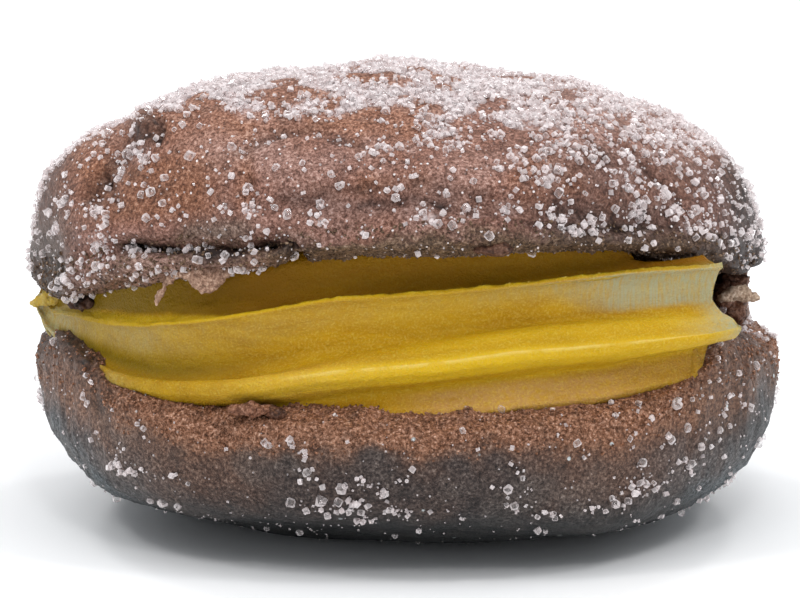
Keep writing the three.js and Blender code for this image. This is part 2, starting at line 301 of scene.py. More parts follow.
baseLook = {
    "noises": {"grit": (0.38, 4, 0.75), "fine": (0.2, 2, 0.7), "mottle": (1.9, 4, 0.7), "patch": (8, 2, 0.5)},
    "stops": (0.29, 0.46, 0.58, 0.73),
    "plain": ("#110c0a", "#322623", "#4c403b", "#7f736c"),
    "warm": ("#2f170c", "#6a4632", "#8a6249", "#b5917c"),
    "greyToneAndSheen": ("#1d2528", "#455054", "#67747a", "#9ba6aa"),
    "frost": ("#352e2b", "#59504a", "#77706a", "#a09b96"),
    "crumb": ("#30180b", "#7b5037", "#a5775d", "#e0beaa"),
    "bed": ("#8f6a62", "#c4a8a4", "#dfcfce", "#efe6e6"),
    # deep: the dark colour that painted shade and the random dark patches mix toward
    "deep": "#0e1313", "speck": "#c9cfcf", "speckSpacing": 1.1, "speckShare": 0.1,
    "warmPatches": 0.12, "darkPatches": 0.38, "bedCell": 0.62,
    "roughness": 0.5, "bump": 1.0, "constants": {"IOR": 1.45, "Specular IOR Level": 0.4},
}
paleTones = ("#4a2e22", "#8c6350", "#b08872", "#d6b8a6")
crumbLook = dict(crownLook, plain=paleTones, crumb=paleTones,
                 frost=("#a3846c", "#c4a88e", "#dac4ac", "#efe2d2"),
                 warmPatches=0.2, darkPatches=0.5, speckShare=0.05)


def crustMaterial(name, look):
    # Fried dough crust rolled in sugar: a matt skin with pits and pale grains about half a millimetre across,
    # browner where it is bare, grey-blue at the sides and under it, partly its own tone and partly a painted sheen,
    # darkened by painted shade in cracks, creases, toward the ends and underneath, and a bed of packed crystals where
    # sugar lies.
    material, tree, shader = newMaterial(name, look["constants"])
    place = addNode(tree, "ShaderNodeTexCoord").outputs["Object"]
    marks = {mark: addNode(tree, "ShaderNodeAttribute", {"attribute_name": mark}).outputs["Fac"]
             for mark in crustMarks}
    noises = {kind: addNode(tree, "ShaderNodeTexNoise", None, {
        "Vector": place, "Scale": 1 / (size * metre), "Detail": detail, "Roughness": uneven}).outputs["Fac"]
        for kind, (size, detail, uneven) in look["noises"].items()}
    crystals, specks = [addNode(tree, "ShaderNodeTexVoronoi", None, {
        "Vector": place, "Scale": 1 / (spacing * metre)}) for spacing in (look["bedCell"], look["speckSpacing"])]
    ranges = {kind: addNode(tree, "ShaderNodeMapRange", None, dict(zip(rangeInputs, row))).outputs["Result"]
              for kind, row in {
                  "warmPatch": (noises["patch"], 0.45, 0.68, 0, look["warmPatches"]),
                  "darkPatch": (noises["mottle"], 0.5, 0.3, 0, look["darkPatches"]),
                  "broken": (noises["mottle"], 0.3, 0.6, 0.35, 1),
                  "cell": (crystals.outputs["Color"], 0.15, 0.95, 0.36, 0.74),
                  "facet": (crystals.outputs["Distance"], 0.1, 0.75, 1, 0),
                  "chosen": (specks.outputs["Color"], look["speckShare"], look["speckShare"] + 0.02, 1, 0),
                  "near": (specks.outputs["Distance"], 0.26, 0.16, 0, 1)}.items()}
    sums = {kind: addNode(tree, "ShaderNodeMath", how, {0: first, 1: second}).outputs[0]
            for kind, (how, first, second) in {
                "warmth": (plus, marks["warm"], ranges["warmPatch"]),
                "frosting": (times, marks["frost"], ranges["broken"]),
                "darkness": (plus, marks["shade"], ranges["darkPatch"]),
                "speck": (times, ranges["chosen"], ranges["near"])}.items()}
    tones = {}
    for tone in ("plain",) + crustMarks[:-1]:
        along = ranges["cell"] if tone == "bed" else noises["grit"]
        node = addNode(tree, "ShaderNodeValToRGB", None, {"Fac": along})
        stops = node.color_ramp.elements
        while len(stops) < len(look["stops"]):
            stops.new(0.5)
        for stop, at, colour in zip(stops, look["stops"], look[tone]):
            stop.position, stop.color = at, fromHex(colour)
        tones[tone] = node.outputs["Color"]
    # the shade mark brings in the deep colour as painted shade, besides random dark patches; the grey-blue tone is
    # partly a painted sheen
    colour = tones["plain"]
    for share, over in ((sums["warmth"], tones["warm"]), (marks["greyToneAndSheen"], tones["greyToneAndSheen"]),
                        (sums["frosting"], tones["frost"]), (marks["crumb"], tones["crumb"]),
                        (sums["darkness"], fromHex(look["deep"])), (sums["speck"], fromHex(look["speck"])),
                        (marks["bed"], tones["bed"])):
        colour = addNode(tree, "ShaderNodeMix", blend, {0: share, 6: colour, 7: over}).outputs[2]
    tree.links.new(colour, shader.inputs["Base Color"])
    gloss = addNode(tree, "ShaderNodeMapRange", None, {
        "Value": sums["speck"], "To Min": look["roughness"], "To Max": 0.2}).outputs["Result"]
    tree.links.new(gloss, shader.inputs["Roughness"])
    # relief finer than the mesh: grit, then the crystals of the bed where there is one
    grit = addNode(tree, "ShaderNodeMath", plus, {0: noises["grit"], 1: noises["fine"]}).outputs[0]
    half = addNode(tree, "ShaderNodeMath", times, {0: grit, 1: 0.6}).outputs[0]
    height = addNode(tree, "ShaderNodeMix", {"data_type": "FLOAT"}, {
        0: marks["bed"], 2: half, 3: ranges["facet"]})
    bump = addNode(tree, "ShaderNodeBump", None, {
        "Strength": look["bump"], "Distance": 0.5 * metre, "Height": height.outputs[0]})
    tree.links.new(bump.outputs["Normal"], shader.inputs["Normal"])
    return material


custardMarks = ("paintedLight", "paintedShadeOlive", "paintedShadeAmber", "peach", "film", "paintedHighlight")
custardLook = {
    # size in mm, how much longer it is along x and z, and detail of each noise
    "noises": {"curds": (0.55, 1, 1, 3), "fine": (0.24, 1, 1, 4), "streaks": (1.3, 7, 1, 3),
               "clouds": (6, 3, 1, 2), "striae": (0.3, 1, 12, 2)},
    # the amber and olive tones are painted shade, the light tone painted light and the gleam tone a painted highlight
    "yellowDeep": "#ab7d02", "yellow": "#bd9006", "yellowLight": "#c69e18", "grainy": "#d8bc54",
    "paintedLight": "#d8b018", "paintedShadeOlive": "#7d6c08", "paintedShadeAmber": "#885600", "peach": "#b88c4e", "film": "#a8a584",
    "paintedHighlight": "#e8d078", "roughness": (0.3, 0.48), "specular": 0.2, "bump": 1.0, "bumpHeight": 0.2,
    "soakDepth": 1.2,
}


def custardMaterial(look):
    # Set vanilla custard, piped cold: dense egg yellow that light soaks into, satin and finely curdled,
    # with a paler dry film where it has stood in the air. Painted shade turns it amber and olive in the recess
    # behind the first crest, in the grooves and underneath, painted light brightens the crests,
    # and painted highlight lines run along them.
    material, tree, shader = newMaterial("setCustard", {
        "IOR": 1.42, "Specular IOR Level": look["specular"], "Subsurface Weight": 0.2,
        "Subsurface Radius": (1.0, 0.55, 0.12), "Subsurface Scale": look["soakDepth"] * metre})
    place = addNode(tree, "ShaderNodeTexCoord").outputs["Object"]
    marks = {mark: addNode(tree, "ShaderNodeAttribute", {"attribute_name": mark}).outputs["Fac"]
             for mark in custardMarks}
    noises = {}
    for kind, (size, alongX, alongZ, detail) in look["noises"].items():
        drawn = addNode(tree, "ShaderNodeMapping", None, {
            "Vector": place, "Scale": (1 / alongX, 1, 1 / alongZ)}).outputs[0]
        noises[kind] = addNode(tree, "ShaderNodeTexNoise", None, {
            "Vector": drawn, "Scale": 1 / (size * metre), "Detail": detail, "Roughness": 0.6}).outputs["Fac"]
    ranges = {kind: addNode(tree, "ShaderNodeMapRange", None, dict(zip(rangeInputs, row))).outputs["Result"]
              for kind, row in {
                  "streaked": (noises["streaks"], 0.35, 0.65, 0, 1),
                  "cloudy": (noises["clouds"], 0.45, 0.7, 0, 0.5),
                  "curdled": (noises["curds"], 0.32, 0.6, 0.35, 1),
                  "striped": (noises["striae"], 0.35, 0.65, 0.45, 1),
                  "speckled": (noises["fine"], 0.48, 0.72, 0, 0.55),
                  "gloss": (noises["curds"], 0.3, 0.7, *look["roughness"])}.items()}
    peachy = addNode(tree, "ShaderNodeMath", times, {0: marks["peach"], 1: ranges["curdled"]}).outputs[0]
    filmy = addNode(tree, "ShaderNodeMath", times, {0: marks["film"], 1: ranges["striped"]}).outputs[0]
    colour = fromHex(look["yellowDeep"])
    for over, share in {
            "yellow": ranges["streaked"], "yellowLight": ranges["cloudy"], "paintedLight": marks["paintedLight"],
            "peach": peachy, "grainy": ranges["speckled"], "paintedShadeAmber": marks["paintedShadeAmber"],
            "paintedShadeOlive": marks["paintedShadeOlive"], "film": filmy, "paintedHighlight": marks["paintedHighlight"]}.items():
        mix = addNode(tree, "ShaderNodeMix", blend, {0: share, 6: colour, 7: fromHex(look[over])})
        colour = mix.outputs[2]
    tree.links.new(colour, shader.inputs["Base Color"])
    tree.links.new(ranges["gloss"], shader.inputs["Roughness"])
    height = addNode(tree, "ShaderNodeMath", {"operation": "ADD"}, {0: noises["curds"], 1: noises["fine"]})
    bump = addNode(tree, "ShaderNodeBump", None, {
        "Strength": look["bump"], "Distance": look["bumpHeight"] * metre, "Height": height.outputs[0]})
    tree.links.new(bump.outputs["Normal"], shader.inputs["Normal"])
    return material


crystalLook = {
    "tint": "#f0dedc", "bright": "#fffbfb", "cloud": 1.1, "chip": 0.3, "bump": 0.3, "bumpHeight": 0.1,
    "seeThrough": 0.15, "slants": (0.08, 0.6),
}
# the cover of a face seen straight on and of one seen along it, and the roughness
crystalCovers = {"clearSugar": (0.12, 0.8, 0.04), "milkySugar": (0.36, 0.88, 0.1)}


def sugarMaterial(name, faceCover, edgeCover, roughness):
    # Granulated sugar: glassy crystals with flat glossy faces. The crust shows through a face seen straight
    # on and hardly through one seen along it, by the two covers; the white of a face seen along it is a painted
    # reflection of the pale surround.
    look = crystalLook
    material, tree, shader = newMaterial(name, {
        "Transmission Weight": look["seeThrough"], "IOR": 1.54, "Roughness": roughness})
    aslant = addNode(tree, "ShaderNodeLayerWeight", None, {"Blend": 0.5}).outputs["Facing"]
    covers = dict(zip(rangeInputs, (aslant, *look["slants"], faceCover, edgeCover)))
    cover = addNode(tree, "ShaderNodeMapRange", None, covers)
    tree.links.new(cover.outputs["Result"], shader.inputs["Alpha"])
    place = addNode(tree, "ShaderNodeTexCoord").outputs["Object"]
    cloud = addNode(tree, "ShaderNodeTexNoise", None, {"Vector": place, "Scale": 1 / (look["cloud"] * metre)})
    milky = addNode(tree, "ShaderNodeMix", blend, {
        0: cloud.outputs["Fac"], 6: fromHex(look["tint"]), 7: fromHex(look["bright"])})
    tree.links.new(milky.outputs[2], shader.inputs["Base Color"])
    chips = addNode(tree, "ShaderNodeTexNoise", None, {"Vector": place, "Scale": 1 / (look["chip"] * metre)})
    bump = addNode(tree, "ShaderNodeBump", None, {
        "Strength": look["bump"], "Distance": look["bumpHeight"] * metre, "Height": chips.outputs["Fac"]})
    tree.links.new(bump.outputs["Normal"], shader.inputs["Normal"])
    return material


# the bun: two superellipsoid halves, joined at the back
bun = {"halfWidth": 41.9, "halfDepth": 40, "planPower": 2.12}
base = {
    "offsetX": 0.4, "ringHeight": 15.6, "upperHeight": 5.8, "upperPower": 5, "lowerHeight": 16.3,
    "lowerPower": 2.75, "underHollow": 0, "frontDrop": 0, "cheeks": [], "leftLean": 0, "lumpShare": 0.6,
    "forwardSlope": 0.06, "cuts": 118,
    # x and how far the cut rim rises there at the front
    "rimRise": ([-42, -38, -35.5, -33, -31, -27, -22, 16, 22, 27, 31, 34, 38, 42],
                [3.0, 4.1, 3.6, 2.3, 1.1, 0.4, 0, 0, 0.3, 1.2, 2.9, 5.0, 3.2, 0.8]),
    # height and how far the left end draws in there, x and how far the right end's belly hangs
    "drawIn": ([0, 3, 6, 9, 12, 16, 20], [0.2, 0.5, 1.0, 1.5, 1.0, 0.6, 0.4]),
    "belly": ([6, 12, 17, 21, 26, 30, 35, 40], [0, 0.6, 1.2, 1.7, 1.7, 1.3, 0.8, 0]),
    # x, z and half width of the clumps of sugar on the front
    "clumps": [
        (-34.4, 17.4, 0.7), (-33.1, 19, 0.6), (-27.5, 15.6, 0.8), (-22.7, 16.2, 0.8), (-26.6, 10.5, 1),
        (-23.2, 10.3, 0.8), (-28.7, 14.4, 0.6), (-30, 12.6, 0.8), (-33.1, 13.4, 0.7), (-30.1, 11.1, 1.6),
        (-13.2, 15.1, 0.6), (-11.3, 15.5, 0.7), (-10.2, 14.6, 0.6), (-9.4, 12.4, 0.8), (-10, 11.7, 0.7),
        (-3.6, 11.3, 1), (-0.4, 11.7, 0.8), (0.5, 12.6, 0.6), (-1.8, 10.2, 1), (-5.5, 9.4, 1.9),
        (-6.4, 8.6, 1.4), (-8.4, 10.7, 0.8), (-10.3, 8.9, 0.8), (-9, 8.7, 0.9), (-1.6, 8, 0.7), (0, 7.9, 1.1),
        (-8.7, 7.5, 0.9), (-3.7, 7.3, 0.8), (-1.5, 7.2, 0.7), (16.5, 17.4, 0.6), (16.7, 16.4, 0.7), (18.6, 17.1, 0.5),
        (22.6, 17.7, 0.6), (25.1, 17.8, 0.6), (26.6, 16.6, 0.9), (29.2, 18.2, 0.7), (31.8, 18.5, 0.7),
        (33.4, 19.6, 0.7), (24, 15.1, 0.7), (24.5, 13.9, 0.6), (28.3, 14.2, 0.8), (34.6, 15.5, 0.7),
        (32.7, 15.3, 0.7), (32, 13, 0.8), (28.8, 11.3, 0.8), (24.9, 10.2, 1.5), (22.9, 8.4, 1.5),
        (20.3, 7.8, 1), (26.3, 8.6, 1), (27.9, 9.7, 1.1), (30.6, 10.5, 1.1), (12.2, 11.6, 0.8),
        (13.3, 10.8, 0.8), (10.9, 10.5, 0.9), (11.7, 8.2, 0.9), (15.9, 7.9, 0.8), (14.3, 7.5, 0.8), (4.7, 7.7, 0.7),
        (5.9, 7.3, 0.7), (4.4, 15.6, 0.6), (10.7, 15.1, 0.6), (11.7, 13.5, 0.6), (13.1, 15.5, 0.6),
        (19.4, 13.5, 0.6)],
    "pit": {"x": -33.2, "z": 16.4, "depth": 0.5, "width": 0.8},
    # height, size, octaves and shift of the bumps of the crust and of the torn rim
    "relief": [(0.26, 6, 2, 44), (0.12, 1.7, 2, 45), (0.05, 0.8, 1, 46)],
    "rimRelief": [(0.34, 1.8, 3, 47), (0.16, 0.8, 2, 48)],
    "wander": [(1.3, 7, 2, 41), (0.6, 2.2, 2, 43)],  # how unevenly its tones end
    "rim": (15.2, 18.8), "fibreRelief": 0.22,
    "sugarLeast": 0.014, "sugarClump": 0.4,
}
crown = {
    "offsetX": -0.4, "ringHeight": 30.2, "upperHeight": 19.9, "upperPower": 2.06, "lowerHeight": 3.7,
    "lowerPower": 9, "underHollow": 1.6, "frontDrop": 0.05, "cheeks": [(-150, 2.7, 20), (-24, 1.9, 11)],
    "leftLean": 0.09, "lumpShare": 1, "tipDegrees": 14.5, "rollDegrees": 1, "cuts": 127,
    # x and how far the torn lip stands above the plain form there, and how far the top does
    "lipRise": ([-38, -34, -29, -25, -18, -13, -8, -3, 3, 9, 15, 20, 33, 39],
                [-1.4, -0.3, 0.8, -0.3, -1.3, -0.9, -0.3, 0.3, 1.2, 1.6, 1.2, 0.6, 0.6, -1.2]),
    "topRise": ([-41, -38, -34.5, -30, -21, -12, -3, 3, 8, 13, 17, 24, 33],
                [0.6, 0.2, 0.9, 0.4, 0.5, 0.3, 0, -0.3, -0.7, -0.6, -0.4, 0, 0]),
    # x and the height above which sugar lies thick
    "sugarLine": ([-42, -32, -16, 0, 6, 12, 21, 27, 32, 36, 42],
                  [9, 10.4, 10.2, 9.4, 7.2, 6.2, 5.0, 4.0, 3.0, 2, 2]),
    # x, z, half width and half height of bare patches in the thick sugar
    "bare": [(-12, 13.6, 5.0, 1.1), (-2.5, 15.8, 4.6, 0.9), (3.2, 12.0, 1.8, 0.8), (-21, 12.6, 2.4, 0.8),
             (10, 12.5, 1.5, 0.6), (-17, 9.4, 3.5, 0.8), (-26.9, 9.8, 1.7, 1.9)],
    "clumps": [
        (-36.5, 3.6, 1.0), (-37.8, 0.8, 0.9), (-32.7, 1.6, 1.4), (-32.2, -1.6, 1.5), (-30.2, 5.3, 1.1),
        (-27.6, 7.2, 1.4), (-18.4, 1.0, 0.9), (-15.6, 0.6, 1.1), (-8.4, -1, 1.0), (-3.7, -2.4, 1.0),
        (-3, 6.8, 1.6), (1.2, 7, 1.3), (5.8, 7.6, 1.4), (2.9, -1.2, 2.0), (7.2, -0.8, 1.5), (11, 0.2, 1.6),
        (12.3, 5.6, 1.6), (15.8, 3.9, 2.2), (16.6, -0.9, 1.6), (18.2, -3.1, 1.8), (20.6, -1.6, 2.2),
        (23.8, 3.2, 2.2), (25.3, -0.1, 2.2), (28.3, 0.8, 2.0), (31, -1, 1.8)],
    "relief": [(0.32, 6, 2, 1.3), (0.13, 1.7, 2, 2.9), (0.05, 0.8, 1, 4.2)],
    "lipRelief": [(0.38, 1.9, 3, 7.7), (0.15, 0.9, 1, 8.8)],
    "cutBelow": (26, 40), "lip": (8, 60, 12),  # degrees below the widest ring
    "sugarDepth": 0.35, "sugarClump": 0.6,
    # the tones of the crust: mark, mask, how strongly, and where across and up. The shade rows are painted shade
    # in the crack, creases, fold, hollow and shoulder, toward both ends and low down, and also darken the scorched
    # nub;
    # the cool rows are the crust's grey tone on the lip and a painted grey sheen at the ends
    "patches": [
        ("shade", "crack", 0.98), ("shade", "nearCrack", 0.2), ("shade", "hollow", 0.45),
        ("shade", "nub", 0.5), ("shade", "shoulder", 0.36), ("shade", "fold", 0.6), ("shade", "creases", 1),
        ("shade", "notRoll", 0.12, (), (-far, 0, 3.5)), ("shade", "all", 0.34, (9, far, 11), (-far, 9, 4)),
        ("shade", "all", 0.45, (32.5, far, 6)), ("shade", "all", 0.45, (-far, -33.5, 6)),
        ("shade", "front", 0.16, (-36, -15, 4), (-1, 7, 2)),
        ("warm", "step", 0.8), ("warm", "upper", 0.55, (-far, 12, 10)),
        ("warm", "frontPatches", 0.5, (-12, 30, 6), (2.9, 1.4)),
        ("warm", "front", 0.9, (-37, -17, 5), (-1, 8, 2.5)),
        ("greyToneAndSheen", "front", 0.55, (-25, -14, 3), (-1.2, 1.1)),
        ("greyToneAndSheen", "all", 0.5, (-far, -34, 5), (-far, 4, 5)),
        ("greyToneAndSheen", "all", 0.2, (-far, -34, 5)), ("greyToneAndSheen", "all", 0.4, (34, far, 5)), ("greyToneAndSheen", "lipPatches", 0.3),
        ("greyToneAndSheen", "lip", 0.35, (12, far, 12)),
        ("frost", "sugared", 0.6), ("frost", "patches", 0.3, (-20, far, 10), (-far, 9, 5)),
        ("frost", "front", 0.55, (-17.5, 4.5), (7.4, 2.0)), ("frost", "roll", 0.6)],
}
hinge = {"place": (0, 9, 21.8), "half": (40.3, 31.9, 10), "cuts": 60,
         "relief": [(0.3, 6, 2, 61), (0.25, 2, 3, 62)]}
lumps = {"waves": 9, "shortest": 13, "longest": 34, "height": 0.75, "seed": 41}


def makeWaves(waves, shortest, longest, height, seed):
    state = seed
    made = []
    for _ in range(waves):
        draws = []
        for _ in range(4):
            state = state * 16807 % 2147483647
            draws.append(state / 2147483647)
        up, turn, length, phase = draws
        up, turn = 2 * up - 1, 2 * math.pi * turn
        flat = math.sqrt(1 - up * up)
        reach = 2 * math.pi / (shortest + (longest - shortest) * length)
        toward = np.array([flat * math.cos(turn), flat * math.sin(turn), up])
        made.append((toward * reach, 2 * math.pi * phase))
    each = height / math.sqrt(waves)
    return lambda points: sum(each * np.sin(points @ k + phase) for k, phase in made)


lump = makeWaves(**lumps)


def halfSurface(half, lon, lat):
    # where a half lies for a longitude and a latitude from its widest ring, and which way it faces
    above = lat > 0
    power = np.where(above, half["upperPower"], half["lowerPower"])
    height = np.where(above, half["upperHeight"], half["lowerHeight"])
    outward, upward = np.abs(np.cos(lat)), np.abs(np.sin(lat))
    reach = (outward ** power + upward ** power) ** (-1 / power)
    across, along = np.cos(lon), np.sin(lon)
    plan = (np.abs(across) ** bun["planPower"] + np.abs(along) ** bun["planPower"]) ** (-1 / bun["planPower"])
    flat = outward * reach
    tall = upward * reach * np.where(above, 1, -1)
    y = bun["halfDepth"] * plan * along * flat
    turn = np.degrees(lon)
    drop = sum(depth * bell(turn, middle, width) for middle, depth, width in half["cheeks"])
    under = half["underHollow"] * (1 - flat * flat) + (half["frontDrop"] * y - drop) * -tall
    z = height * tall + np.where(above, 0, under)
    x = bun["halfWidth"] * plan * across * flat + half["offsetX"] - half["leftLean"] * np.maximum(z, 0)
    lean = flat ** (power - 1)
    facing = np.stack([lean * across / bun["halfWidth"], lean * along / bun["halfDepth"],
                       np.abs(tall) ** (power - 1) * np.sign(tall) / height], axis=1)
    return np.stack([x, y, z], axis=1), facing / np.linalg.norm(facing, axis=1)[:, None]


# relief of the crown's front, in the crown's own level frame
# left, right, level, rise, depth and width
folds = [(-35, -8, -2.9, 0, 2.0, 1.1), (-16, 33, 0.9, -0.05, 0.8, 1.7)]
nub = {"x": -26.9, "z": 9.8, "radius": 2.0, "height": 1.3}
fold = {"points": [(-25.4, 10.8), (-25.2, 9.6), (-25.6, 8.6)], "width": 0.35, "depth": 0.9}
hollow = {"topX": -28.6, "topZ": 8.6, "footX": -32.8, "footZ": 3.6, "width": 1.4, "depth": 1.2}
crack = {"points": [(-29, -2.8), (-24, -3.3), (-20.3, -3.6), (-16.5, -3.1), (-13.5, -2.7), (-10.4, -4.4)],
         "depth": 1.6, "width": 0.5, "widest": (-20.5, 2.5)}  # widest about an x, over a width
creases = [  # x and z along each, depth, width and how dark
    ([(-17.3, 6.9), (-15.2, 7.9), (-12.4, 8.9), (-9.4, 9.2), (-7.3, 8.4), (-4.2, 7.4)], 0.4, 0.6, 0.5),
    ([(-16.0, 4.4), (-15.3, 2.4), (-15.5, 1.1)], 0.45, 0.45, 0.45),
    ([(-12.4, 1.7), (-9.3, 2.1), (-6.4, 2.6), (-2.7, 2.6), (0, 2.9), (5, 2.2), (9, 1.4)], 0.45, 0.8, 0.4),
    ([(-2.5, 0.6), (1.4, 1.3), (5.2, 0)], 0.35, 0.5, 0.4),
    ([(12.4, -2.2), (18.7, -2.6), (25.3, -1.9)], 0.4, 0.7, 0.4),
    ([(24.2, 7.4), (27.2, 4.4), (29.9, 1.2)], 0.5, 0.5, 0.4),
    ([(17.1, 10.2), (20.2, 7.9), (22.2, 5.1)], 0.4, 0.5, 0.3),
    ([(-32, 5.6), (-29.9, 2.3)], 0.45, 0.6, 0.4)]
step = {"x": -16.4, "low": 0.6, "high": 9.6, "depth": 0.55, "width": 1.0}


def fromLine(x, z, points):
    # how far each place lies from a line through the points
    nearest = np.full(x.shape, 1e9)
    for (ax, az), (bx, bz) in zip(points, points[1:]):
        dx, dz = bx - ax, bz - az
        share = np.clip(((x - ax) * dx + (z - az) * dz) / (dx * dx + dz * dz), 0, 1)
        nearest = np.minimum(nearest, np.hypot(x - ax - dx * share, z - az - dz * share))
    return nearest


def inHollow(x, z, spare):
    # 1 along the groove that runs down from the scorched nub
    share = np.clip((hollow["topZ"] - z) / (hollow["topZ"] - hollow["footZ"]), 0, 1)
    middle = mixed(hollow["topX"], hollow["footX"], share)
    within = between(z, hollow["footZ"] - spare, hollow["topZ"] + spare, 2)
    return within * bell(x, middle, hollow["width"])


def crownRelief(p):
    x, y, z = p.T
    front = smooth(-y, 4, 12)
    relief = np.zeros_like(x)
    for left, right, level, rise, depth, width in folds:
        relief -= front * depth * between(x, left, right, 7) * bell(z, level + rise * x, width)
    relief += front * nub["height"] * bell(np.hypot(x - nub["x"], z - nub["z"]), 0, nub["radius"])
    return relief - front * hollow["depth"] * inHollow(x, z, 2)


def skin(half):
    # the half's fine mesh and its surface with its soft lumps, as in the solid, in the half's own level frame
    bm, toward = cubeBall(half["cuts"])
    lon, lat = np.arctan2(toward[:, 1], toward[:, 0]), np.arcsin(np.clip(toward[:, 2], -1, 1))
    points, facing = halfSurface(half, lon, lat)
    if half is base:
        points[:, 2] += base["ringHeight"]
    relief = half["lumpShare"] * lump(points)
    if half is crown:
        relief = relief + crownRelief(points)
    return bm, points + facing * relief[:, None], facing, lat


def clumped(p, clumps):
    # 1 in the middle of each clump of sugar on the front, with ragged edges
    x, y, z = p.T
    wander = 1 + 0.45 * grain(p, 1.6, 2, 25.0)
    near = [bell(np.hypot(x - cx, z - cz) * wander, 0, 0.8 * size) for cx, cz, size in clumps]
    return np.max(near, axis=0) * smooth(-y, 2, 10)


def crownSugar(p):
    # how thickly sugar lies on the crown: 1 where crystals touch, nearly 0 on bare crust
    x, y, z = p.T
    line = np.interp(x, *crown["sugarLine"])
    broad, clumps, holes = grain(p, 7, 2, 3.1), grain(p, 2.6, 2, 9.7), grain(p, 4.2, 2, 17.3)
    unseen = 1 - smooth(-y, 0, 12)  # round the back it lies where it falls
    line = line - 5 * smooth(-x, 16, 25) * (1 - smooth(-y, 12, 24))  # and lower down the left shoulder
    heavy = smooth(z - line - 4 * smooth(x, 3, 14) + 3.0 * broad, -1.0, 4.0) * (1 - 0.5 * smooth(x, 8, 22))
    thick = np.maximum(heavy, (0.4 - 0.12 * smooth(x, 24, 36)) * smooth(z - line + 3.0 * broad, -0.6, 2.4))
    thick *= 1 - 0.75 * smooth(np.abs(x), 29, 37) * (1 - smooth(z, 6, 12)) * (1 - 0.5 * unseen)
    thick *= 1 - 0.75 * smooth(holes, 0.16, 0.36)
    for cx, cz, halfX, halfZ in crown["bare"]:
        near = np.exp(-(((x - cx) / halfX) ** 2 + ((z - cz) / halfZ) ** 2) ** 2)
        thick *= 1 - 0.93 * near * smooth(-y, 2, 10)
    strewn = smooth(clumps, 0.2, 0.45) * (0.25 + 0.75 * unseen) * (1 - 0.7 * smooth(np.abs(x), 30, 38))
    thin = 0.06 + 0.4 * strewn + 0.07 * smooth(x, 6, 20)
    return np.maximum(thick, np.maximum(crown["sugarClump"] * clumped(p, crown["clumps"]), thin))


